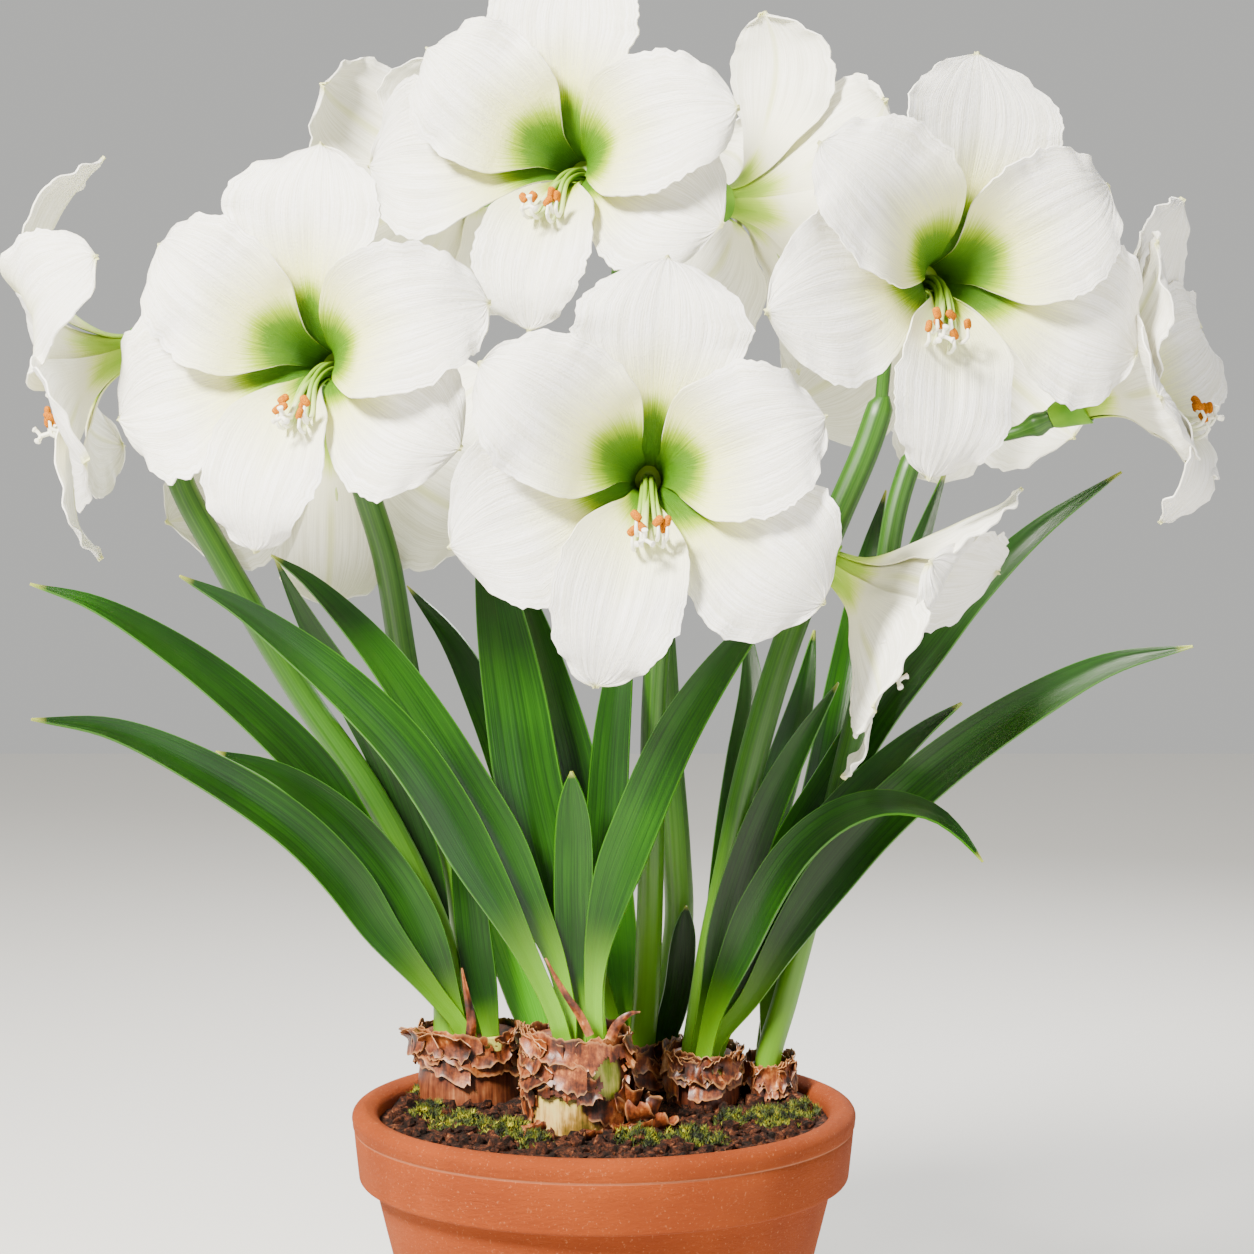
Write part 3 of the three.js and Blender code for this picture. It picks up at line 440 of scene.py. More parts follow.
class Run:
    """A smooth curve through points, read by the share of its length."""

    def __init__(self, points, fine=14):
        ends = [points[0] * 2 - points[1]] + list(points) + [points[-1] * 2 - points[-2]]
        self.points = []
        for k in range(1, len(ends) - 2):
            a, b, c, d = ends[k - 1:k + 3]
            ta, tb, tc = [max((q - p).length, 1e-4) ** 0.5 for p, q in ((a, b), (b, c), (c, d))]
            start = ((b - a) / ta - (c - a) / (ta + tb) + (c - b) / tb) * tb
            end = ((c - b) / tb - (d - b) / (tb + tc) + (d - c) / tc) * tb
            for step in range(fine):
                t = step / fine
                self.points.append(b + start * t + (b * -3 + c * 3 - start * 2 - end) * t * t
                                   + (b * 2 - c * 2 + start + end) * t ** 3)
        self.points.append(points[-1])
        self.along = [0.0]
        for p, q in zip(self.points, self.points[1:]):
            self.along.append(self.along[-1] + (q - p).length)
        self.length = self.along[-1]

    def at(self, share):
        """The point at a share of the length."""
        goal = max(0.0, min(1.0, share)) * self.length
        low, high = 0, len(self.along) - 1
        while high - low > 1:
            middle = (low + high) // 2
            if self.along[middle] <= goal:
                low = middle
            else:
                high = middle
        part = (goal - self.along[low]) / max(self.along[high] - self.along[low], 1e-9)
        return self.points[low].lerp(self.points[high], part)

    def heading(self, share):
        """The unit vector along the curve there."""
        return (self.at(share + 0.01) - self.at(share - 0.01)).normalized()


def frayed(angle, seed):
    """How far a torn edge strays at an angle round the bulb, in millimetres."""
    round_it = Vector((math.cos(angle), math.sin(angle), seed))
    return (2.6 * noise.noise(round_it * 2.3) + 2.2 * noise.noise(round_it * 7)
            + 1.5 * noise.noise(round_it * 19))


bulb_foot = 206  # the height where the bulbs come out of the soil


def bulb_radius(name, z):
    """Radius of the tunic at a height: rounded over the soil and drawn in towards the neck."""
    x, y, radius, deep, top = bulb_places[name]
    share = max(0.0, (z - bulb_foot) / (top - bulb_foot))
    tuck = 0.10 if name == "bulb_centre" else 0.02
    return radius * (0.985 - 0.15 * share ** 1.4 - tuck * (1 - share) ** 3)


# Where a skin has split away and the live scale shows: direction in degrees, height, and half sizes.
bare_patches = {
    "bulb_centre": [(-50, 235, 20, 10), (-112, 217, 34, 13), (-92, 208, 32, 9)],
    "bulb_left": [(-58, 239, 12, 5)],
    "bulb_right": [(-66, 228, 9, 4)],
    "bulb_rear": [],
    "bulb_outer": [],
}


def bareness(name, angle, z):
    """How bare the bulb is at a direction in degrees and a height, from 0 to 1."""
    bare = 0.0
    for middle, height, half_angle, half_height in bare_patches[name]:
        off = ((angle - middle + 180) % 360 - 180) / half_angle
        near = 1 - math.hypot(off, (z - height) / half_height)
        bare = max(bare, min(1.0, max(0.0, near * 4 + 0.5)))
    return bare


def tunic(name, seed):
    """The smooth skin of a bulb, closed from under the soil to inside its neck, marked where it is bare."""
    x, y, radius, deep, top = bulb_places[name]
    steps, buried, underside = 40, 196, 178
    heights = [buried + (top - 2 - buried) * k / steps for k in range(steps + 1)]
    rings = [(radius * 0.5, underside)] + [(bulb_radius(name, z), z) for z in heights]
    neck = bulb_radius(name, top)
    rings += [(neck - 1.6, top - 1.4), (neck - 4, top - 2.6), (neck * 0.55, top - 4.5), (1, top - 5)]
    piece = extruded_rings(name + "_tunic", 96, rings)
    bare = piece.data.attributes.new("bare", "FLOAT", "POINT")
    for k, vertex in enumerate(piece.data.vertices):
        co = vertex.co / MM
        angle = math.atan2(co.y, co.x)
        around = Vector((math.cos(angle), math.sin(angle), 0))
        bare.data[k].value = bareness(name, math.degrees(angle), co.z)
        if math.hypot(co.x, co.y) > neck * 0.9:
            co += around * (0.9 * drift(co.x / 15, co.y / 15, co.z / 22 + seed)
                            + 0.16 * drift(co.x / 1.6, co.y / 1.6, co.z / 30 + seed))
        co.y *= deep
        vertex.co = (co + Vector((x, y, 0))) * MM
    smooth(50)
    return piece


def skin_sheet(name, start, end, low, high, gap, lift, flare, seed):
    """A dry skin round part of a bulb: held in the middle, lifted along its foot and flared at its top."""
    x, y, radius, deep, top = bulb_places[name]
    slope = (17 if low < top - 12 else 6) * math.sin(2.3 * seed)
    gone = 0.55

    def point(u, v):
        angle = math.radians(start + (end - start) * u)
        ends = abs(2 * u - 1) ** 5
        slant = slope * (u - 0.5)
        foot = low + slant + 1.3 * frayed(angle, seed) + (high - low) * 0.35 * ends
        head = high + 0.5 * slant + 0.8 * frayed(angle, seed + 40) - (high - low) * 0.3 * ends
        z = foot + (head - foot) * v
        wrinkle = (1.1 * drift(math.cos(angle) * 3.4, math.sin(angle) * 3.4, z / 9 + seed)
                   + 0.35 * drift(math.cos(angle) * 16, math.sin(angle) * 16, z / 24 + seed))
        off = (gap + wrinkle * (0.4 + 0.8 * (1 - v)) + lift * (1 - v) ** 3 * (0.7 + drift(u * 5, seed, 2))
               + flare * v ** 4 * (0.7 + drift(u * 6, seed, 5)) + 1.6 * ends)
        r = bulb_radius(name, z) + max(off, 0.25)
        return Vector((x + r * math.cos(angle), y + r * math.sin(angle) * deep, z))

    sheet = grid_piece("dry_skin", max(12, int((end - start) / 3)), 10, point)
    shape = bmesh.new()
    shape.from_mesh(sheet.data)
    torn = []
    for face in shape.faces:
        at = face.calc_center_median() / MM
        turn = math.degrees(math.atan2((at.y - y) / deep, at.x - x))
        if bareness(name, turn + 14 * noise.noise(at / 4), at.z + 6 * noise.noise(at / 5)) > gone:
            torn.append(face)
    bmesh.ops.delete(shape, geom=torn, context="FACES")
    shape.to_mesh(sheet.data)
    shape.free()
    sheet.data.materials.append(dry_skin)
    give_thickness(sheet, 0.45)
    return sheet


def curled_scrap(at, along, radius, sweep, seed):
    """A loose scrap of skin, rolled round the run of the vector along."""
    axis = along.normalized()
    side = axis.cross(Vector((0.2, 0.1, 1))).normalized()
    up = side.cross(axis)

    def point(u, v):
        turn = sweep * (u - 0.5) * (1 + 0.25 * drift(v * 3, seed, 0))
        reach = radius * (1 + 0.35 * u + 0.3 * drift(u * 3, v * 3, seed))
        wide = along.length * (v - 0.5) * (1 + 0.35 * drift(u * 4, seed, 3))
        return at + axis * wide + (side * math.sin(turn) + up * (1 - math.cos(turn))) * reach

    scrap = grid_piece("scrap", 18, 10, point)
    scrap.data.materials.append(dry_skin)
    give_thickness(scrap, 0.5)
    return scrap


def dry_blade(path, half, seed):
    """A dead leaf: a thin brown blade, folded along its middle and drawn to a point."""
    run = Run([seen(*p) for p in path])

    def point(u, v):
        s = 2 * u - 1
        width = half * (1 - v ** 1.6) * (0.75 + 0.5 * v * (1 - v)) + 0.25
        facing = Vector((0, 1, 0)).cross(run.heading(v)).normalized()
        bow = 0.35 * width * abs(s) + 0.8 * drift(v * 4, s, seed)
        return run.at(v) + facing * width * s + Vector((0, bow, 0))

    blade = grid_piece("dry_blade", 8, 30, point)
    blade.data.materials.append(dry_skin)
    give_thickness(blade, 0.5)
    return blade


tunic_skin = new_material("smooth_bulb_tunic")
# Inner skin: satin purple-brown with fine lengthwise fibres; cream to green where the live scale is bare.
place = add_node(tunic_skin, "TexCoord")
stretch = add_node(tunic_skin, "Mapping", {"Vector": (place, "Object"), "Scale": (1, 1, 0.09)})
fibres = add_node(tunic_skin, "TexNoise", {"Vector": stretch, "Scale": 520, "Detail": 4, "Roughness": 0.6})
stains = add_node(tunic_skin, "TexNoise",
                  {"Vector": (place, "Object"), "Scale": 48, "Detail": 4, "Roughness": 0.6})
tone = add_node(tunic_skin, "Mix", {0: 0.6, 2: fibres, 3: stains}, data_type="FLOAT")
tunic_colour = add_node(tunic_skin, "ValToRGB", {"Fac": tone},
                        [(0.36, "#2a1008"), (0.47, "#552714"), (0.57, "#7d4426"), (0.70, "#aa7448")])
live_colour = add_node(tunic_skin, "ValToRGB", {"Fac": tone},
                       [(0.34, "#4f7408"), (0.46, "#94a428"), (0.57, "#cfc862"), (0.70, "#c09048")])
old_colour = add_node(tunic_skin, "ValToRGB", {"Fac": tone},
                      [(0.38, "#3f1e0a"), (0.47, "#865628"), (0.55, "#c9a061"), (0.64, "#d2bf78"),
                       (0.74, "#98a03a")])
parts = add_node(tunic_skin, "SeparateXYZ", {"Vector": (place, "Object")})
low_down = add_node(tunic_skin, "MapRange",
                    {"Value": (parts, 2), "From Min": 0.220, "From Max": 0.232, "To Min": 0.85,
                     "To Max": 0.0})
fleshy = add_node(tunic_skin, "Mix", {0: low_down, 6: live_colour, 7: old_colour}, data_type="RGBA")
bare = add_node(tunic_skin, "Attribute", attribute_name="bare")
tunic_mix = add_node(tunic_skin, "Mix",
                     {0: (bare, "Fac"), 6: tunic_colour, 7: (fleshy, 2)}, data_type="RGBA")
tunic_bump = add_node(tunic_skin, "Bump", {"Height": fibres, "Strength": 0.22, "Distance": 0.0005})
shader = add_node(tunic_skin, "BsdfPrincipled",
                  {"Base Color": (tunic_mix, 2), "Roughness": 0.42, "Specular IOR Level": 0.4,
                   "Subsurface Weight": 0.08, "Subsurface Scale": 0.003, "Normal": tunic_bump})
add_node(tunic_skin, "OutputMaterial", {"Surface": shader})

dry_skin = new_material("dry_papery_bulb_skin")
# Dead outer scales: thin, brittle and reddish brown, a little glossy, paler along their torn edges,
# with a painted highlight along those edges.
place = add_node(dry_skin, "TexCoord")
stretch = add_node(dry_skin, "Mapping", {"Vector": (place, "Object"), "Scale": (1, 1, 0.2)})
fibres = add_node(dry_skin, "TexNoise", {"Vector": stretch, "Scale": 420, "Detail": 4, "Roughness": 0.6})
stains = add_node(dry_skin, "TexNoise",
                  {"Vector": (place, "Object"), "Scale": 60, "Detail": 6, "Roughness": 0.7})
tone = add_node(dry_skin, "Mix", {0: 0.7, 2: fibres, 3: stains}, data_type="FLOAT")
skin_colour = add_node(dry_skin, "ValToRGB", {"Fac": tone},
                       [(0.38, "#160702"), (0.46, "#451c09"), (0.53, "#733615"), (0.60, "#a35f2c"),
                        (0.69, "#e2b380")])
parts = add_node(dry_skin, "SeparateXYZ", {"Vector": (place, "UV")})
# A pale band along each skin's foot and head: the paler torn edge, with a painted highlight where the edge
# catches the light.
from_foot = add_node(dry_skin, "Math", {0: (parts, 1), 1: 0.5}, operation="PINGPONG")
edge_wear_and_highlight = add_node(dry_skin, "MapRange",
                {"Value": from_foot, "From Min": 0.0, "From Max": 0.10, "To Min": 0.5, "To Max": 0.0})
edge_paled_and_lit = add_node(dry_skin, "Mix", {0: edge_wear_and_highlight, 6: skin_colour, 7: linear("#c08a58")}, data_type="RGBA")
skin_bump = add_node(dry_skin, "Bump", {"Height": tone, "Strength": 0.5, "Distance": 0.0012})
shader = add_node(dry_skin, "BsdfPrincipled",
                  {"Base Color": (edge_paled_and_lit, 2), "Roughness": 0.42, "Specular IOR Level": 0.45,
                   "Normal": skin_bump})
add_node(dry_skin, "OutputMaterial", {"Surface": shader})

# The soil's height at the bulbs, and how far a skin reaches each way, as a share of its span.
ground, overlap = 208, 0.58
for seed, (name, (x, y, radius, deep, top)) in enumerate(bulb_places.items()):
    piece = tunic(name, 3.7 * seed + 1)
    piece.data.materials.append(tunic_skin)
    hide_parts(name)
    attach(piece, "root")
    draw = random.Random(20 + seed)
    sheets = []
    smooth_foot = 0.42 if name in ("bulb_left", "bulb_right") else 0.12
    floor_z = ground + (top - ground) * smooth_foot
    rows = max(3, int((top - floor_z) / 7))
    for row in range(rows):
        low = floor_z + (top - 6 - floor_z) * row / rows
        start = draw.uniform(0, 360)
        spent = 0
        while spent < 340:
            span = draw.uniform(60, 125)
            middle = start + spent + span / 2
            if bareness(name, middle, low + 6) < 0.5:
                foot = low + draw.uniform(-3, 3)
                head = min(foot + draw.uniform(11, 22), top + 1)
                gap = 0.5 + 0.6 * row + draw.random()
                lift, flare = draw.uniform(0.4, 4.2), draw.uniform(0, 1.6)
                sheets.append(skin_sheet(name, middle - span * overlap, middle + span * overlap, foot, head,
                                         gap, lift, flare, seed * 31 + row * 7.7 + spent))
            spent += span
    for k in range(5):
        middle = draw.uniform(0, 360)
        sheets.append(skin_sheet(name, middle - 48, middle + 48, top - 9, top + draw.uniform(0, 3.5),
                                 0.8 + 0.5 * k, 0.6, draw.uniform(0.5, 3.5), seed * 17 + k * 5.1))
    if name == "bulb_left":
        for k, (middle, flare) in enumerate([(-140, 8), (-112, 6), (-160, 7)]):
            sheets.append(skin_sheet(name, middle - 26, middle + 26, top - 12, top + 1.5, 3.4 + k, 1, flare,
                                     70 + k * 9))
        sheets.append(dry_blade([(-67, 243, 19), (-66, 256, 18), (-68, 268, 18), (-70.5, 282, 19)], 2.9, 4))
    if name == "bulb_centre":
        sheets.append(dry_blade([(-7, 248, -43), (-12, 258, -45), (-21, 272, -48), (-29, 287, -50)],
                                2.3, 6))
        sheets.append(dry_blade([(3, 246, -43), (7, 254, -45), (13, 259, -45), (18, 260, -43)], 2.9, 8))
        for at, along, size, sweep in [
                ((14, -32, 222), (4, -3, 12), 5, 3.0), ((19, -36, 214), (12, -2, 3), 5, 3.6),
                ((26, -30, 217), (5, 2, 12), 4, 3.9), ((17, -41, 209), (11, 5, 2), 4.5, 3.1),
                ((29, -36, 210), (10, -6, 4), 4, 3.4), ((10, -47, 210), (9, -3, 1), 3.5, 2.8),
                ((-33, -46, 210), (10, 3, 2), 4, 2.9), ((-6, -52, 209), (8, 4, 1), 3, 3.2)]:
            sheets.append(curled_scrap(Vector(at), Vector(along), size, sweep, at[0] * 1.3))
    if name == "bulb_outer":
        sheets.append(curled_scrap(Vector((66, 30, 214)), Vector((8, 2, 6)), 4, 3.4, 3))
    skins = joined(name + "_dry_skins", sheets)
    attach(skins, "root")

# Stems: six hollow round scapes, smooth and mid green, paler at the foot. At the top each carries a stalk
# with a three-sided green ovary for every flower, and the flower's own tube is seated on the ovary.


def facing_of(turn, rise):
    """Which way a flower looks, from its turn to the right of the viewer and its rise, in degrees."""
    a, b = math.radians(turn), math.radians(rise)
    return Vector((math.sin(a) * math.cos(b), -math.cos(a) * math.cos(b), math.sin(b)))


# Each flower: where its heart lines up, its depth, the way it faces, and for its six tepals, from the one
# at the right of the top round by way of the left, their angle, their reach, and how far they bend back.
flowers = {
    "A": {"at": (22, 525, -82), "turn": 0, "rise": 3, "angles": (18, 85, 147, 200, 256, 324),
          "reach": (0.88, 1.04, 1.0, 1.0, 1.12, 1.04)},
    "B": {"at": (-137, 581, -40), "turn": -22, "rise": 4, "angles": (15, 85, 143, 196, 261, 333),
          "reach": (1.08, 1.06, 0.98, 1.07, 1.03, 0.96), "bends": (24, 0, 0, 0, 0, 6)},
    "C": {"at": (-14, 676, 14), "turn": -20, "rise": 8, "angles": (10, 86, 141, 181, 267, 337),
          "reach": (1.1, 1.0, 0.9, 1.03, 0.95, 0.98)},
    "D": {"at": (163, 623, -46), "turn": 21, "rise": 0, "angles": (31, 86, 144, 191, 257, 339),
          "reach": (0.87, 1.09, 1.08, 1.1, 1.1, 1.03)},
    "E": {"at": (-236, 587, 20), "turn": -83, "rise": -15, "angles": (30, 90, 150, 210, 270, 330),
          "reach": (0.9, 0.97, 1.0, 0.85, 1.08, 1.08), "bends": (42, 40, 0, 10, 0, 0)},
    "F": {"at": (243, 564, 12), "turn": 70, "rise": 22, "angles": (15, 75, 135, 195, 255, 315),
          "reach": (0.72, 0.75, 0.73, 0.5, 0.7, 0.5), "bends": (-12, -40, -26, -8, 30, -4)},
    "G": {"at": (63, 660, 62), "turn": 128, "rise": 4, "angles": (30, 90, 150, 210, 270, 330),
          "reach": (0.62, 1, 0.95, 0.95, 0.95, 0.9)},
    "H": {"at": (118, 479, -40), "turn": 85, "rise": -32, "angles": (30, 90, 150, 215, 270, 330),
          "reach": (0.8, 0.74, 0.4, 0.7, 0.88, 0.6), "bends": (-26, -20, 4, -12, -18, -15)},
    "I": {"at": (-136, 556, 57), "turn": 178, "rise": -28, "angles": (30, 90, 150, 210, 270, 330),
          "reach": (1, 1, 1, 1, 1, 1)},
    "J": {"at": (-62, 668, 66), "turn": -138, "rise": 8, "angles": (30, 90, 150, 210, 270, 330),
          "reach": (0.92, 0.55, 0.85, 0.95, 0.95, 0.92)},
    "K": {"at": (162, 606, 78), "turn": 168, "rise": 0, "angles": (30, 90, 150, 222, 270, 330),
          "reach": (0.95, 1, 0.82, 1.0, 0.95, 0.95), "bends": (0, 0, 0, 14, 0, 0)},
}


def ease(low, high, t):
    """A smooth step from 0 at low to 1 at high."""
    t = max(0.0, min(1.0, (t - low) / (high - low)))
    return t * t * (3 - 2 * t)


def base_of(flower):
    """Where a flower's tube is seated on its ovary, behind its heart."""
    tube_length = 25
    return seen(*flower["at"]) - facing_of(flower["turn"], flower["rise"]) * tube_length


def tube_piece(name, run, rows, sides, radius):
    """A tube along a run, closed at both ends, with radius(share, angle) in millimetres."""
    select_only()
    bpy.ops.mesh.primitive_cylinder_add(vertices=sides, radius=1, depth=2, end_fill_type="NGON")
    piece = active_piece(name)
    shape = bmesh.new()
    shape.from_mesh(piece.data)
    lengthwise = [edge for edge in shape.edges if abs(edge.verts[0].co.z - edge.verts[1].co.z) > 1]
    bmesh.ops.subdivide_edges(shape, edges=lengthwise, cuts=rows - 1, use_grid_fill=True)
    heading = run.heading(0)
    side = Vector((0.3, 1, 0.2)).cross(heading).normalized()
    frames = []
    for k in range(rows + 1):
        now = run.heading(k / rows)
        side = heading.rotation_difference(now) @ side
        heading = now
        frames.append((run.at(k / rows), side.copy(), heading.cross(side)))
    for vertex in shape.verts:
        share = (vertex.co.z + 1) / 2
        centre, right, up = frames[round(share * rows)]
        angle = math.atan2(vertex.co.y, vertex.co.x)
        r = radius(share, angle)
        vertex.co = (centre + right * r * math.cos(angle) + up * r * math.sin(angle)) * MM
    shape.to_mesh(piece.data)
    shape.free()
    smooth(50)
    return piece


# Each stem's path as it lines up from the camera (x, z, depth), the flowers on it, and its radius.
stems = {
    "stem_left": ([(-77, 234, 42), (-79, 286, 44), (-91, 321, 46), (-115, 368, 48), (-150, 420, 50),
                   (-188, 485, 50), (-208, 523, 48), (-214, 548, 44)], "E", 7.8),
    "stem_left_inner": ([(-60, 236, 55), (-71, 316, 70), (-84, 366, 72), (-97, 425, 69), (-107, 485, 52),
                         (-118, 522, 32), (-124, 544, 20)], "BI", 7.8),
    "stem_rear": ([(23.6, 228, 73.5), (26, 245, 74), (37, 301, 78), (36, 341, 76), (32, 391, 74),
                   (29, 440, 70), (24, 499, 66), (18, 563, 62), (12, 612, 60), (9, 634, 58)], "CGJ", 7.8),
    "stem_centre": ([(18, 226, 60.5), (18.5, 240, 60), (21, 266, 53), (23, 316, 36), (24, 366, 24),
                     (25, 415, 12), (28, 455, 0), (34, 492, -12)], "AH", 7),
    "stem_right": ([(43.5, 224, 42), (54, 291, 32), (62, 331, 26), (71, 376, 20), (89, 440, 14),
                    (112, 499, 12), (129, 539, 12), (138, 566, 12)], "D", 7.8),
    "stem_far_right": ([(81.3, 216, 40), (81.7, 236, 40.3), (90, 266, 38), (103, 316, 38), (113, 356, 39),
                        (122, 393, 42), (134, 445, 48), (144, 509, 54), (153, 539, 56)], "FK", 6.6),
}

scape_skin = new_material("green_scape_skin")
# Waxy stalk skin: mid green with faint lengthwise streaks, yellower near the bulb, a soft sheen.
place = add_node(scape_skin, "TexCoord")
stretch = add_node(scape_skin, "Mapping", {"Vector": (place, "UV"), "Scale": (26, 0.8, 1)})
streaks = add_node(scape_skin, "TexNoise", {"Vector": stretch, "Scale": 1.6, "Detail": 3, "Roughness": 0.5})
stalk_colour = add_node(scape_skin, "ValToRGB", {"Fac": streaks},
                        [(0.3, "#1b4400"), (0.5, "#285600"), (0.72, "#3f7006")])
parts = add_node(scape_skin, "SeparateXYZ", {"Vector": (place, "Object")})
foot = add_node(scape_skin, "MapRange",
                {"Value": (parts, 2), "From Min": 0.225, "From Max": 0.36, "To Min": 0.75, "To Max": 0.0})
footed = add_node(scape_skin, "Mix", {0: foot, 6: stalk_colour, 7: linear("#6fa61e")}, data_type="RGBA")
stalk_bump = add_node(scape_skin, "Bump", {"Height": streaks, "Strength": 0.12, "Distance": 0.0006})
shader = add_node(scape_skin, "BsdfPrincipled",
                  {"Base Color": (footed, 2), "Roughness": 0.42, "Specular IOR Level": 0.4,
                   "Subsurface Weight": 0.08, "Subsurface Scale": 0.004, "Coat Weight": 0.12,
                   "Coat Roughness": 0.35, "Normal": stalk_bump})
add_node(scape_skin, "OutputMaterial", {"Surface": shader})

for name, (path, letters, thick) in stems.items():
    run = Run([seen(*p) for p in path])
    fluted = [tube_piece(name, run, 60, 28, lambda t, a: (
        (thick - t + 0.12 * math.cos(9 * a)) * (1 - 0.6 * ease(0.98, 1, t))))]
    for letter in letters:
        facing = facing_of(flowers[letter]["turn"], flowers[letter]["rise"])
        base = base_of(flowers[letter]) - facing * 0.4
        stalk = Run([run.at(0.985), run.at(1).lerp(base, 0.3) - facing * 8, base - facing * 18,
                     base - facing * 9, base])

        def girth(t, a, length=stalk.length):
            left = (1 - t) * length
            swell = math.exp(-((left - 7.5) / 5.2) ** 2)
            return 3.3 + 2.9 * swell * (1 + 0.1 * math.cos(3 * a)) + 1.3 * math.exp(-left / 2)

        fluted.append(tube_piece("stalk", stalk, 34, 24, girth))
    piece = joined(name + "_green", fluted)
    piece.data.materials.append(scape_skin)
    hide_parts(name)
    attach(piece, "root")

# Leaves: long fleshy straps with a shallow channel, dark and glossy above, paler beneath, with a light
# rim, fine parallel veins, and a yellow-green foot where they leave the bulb.

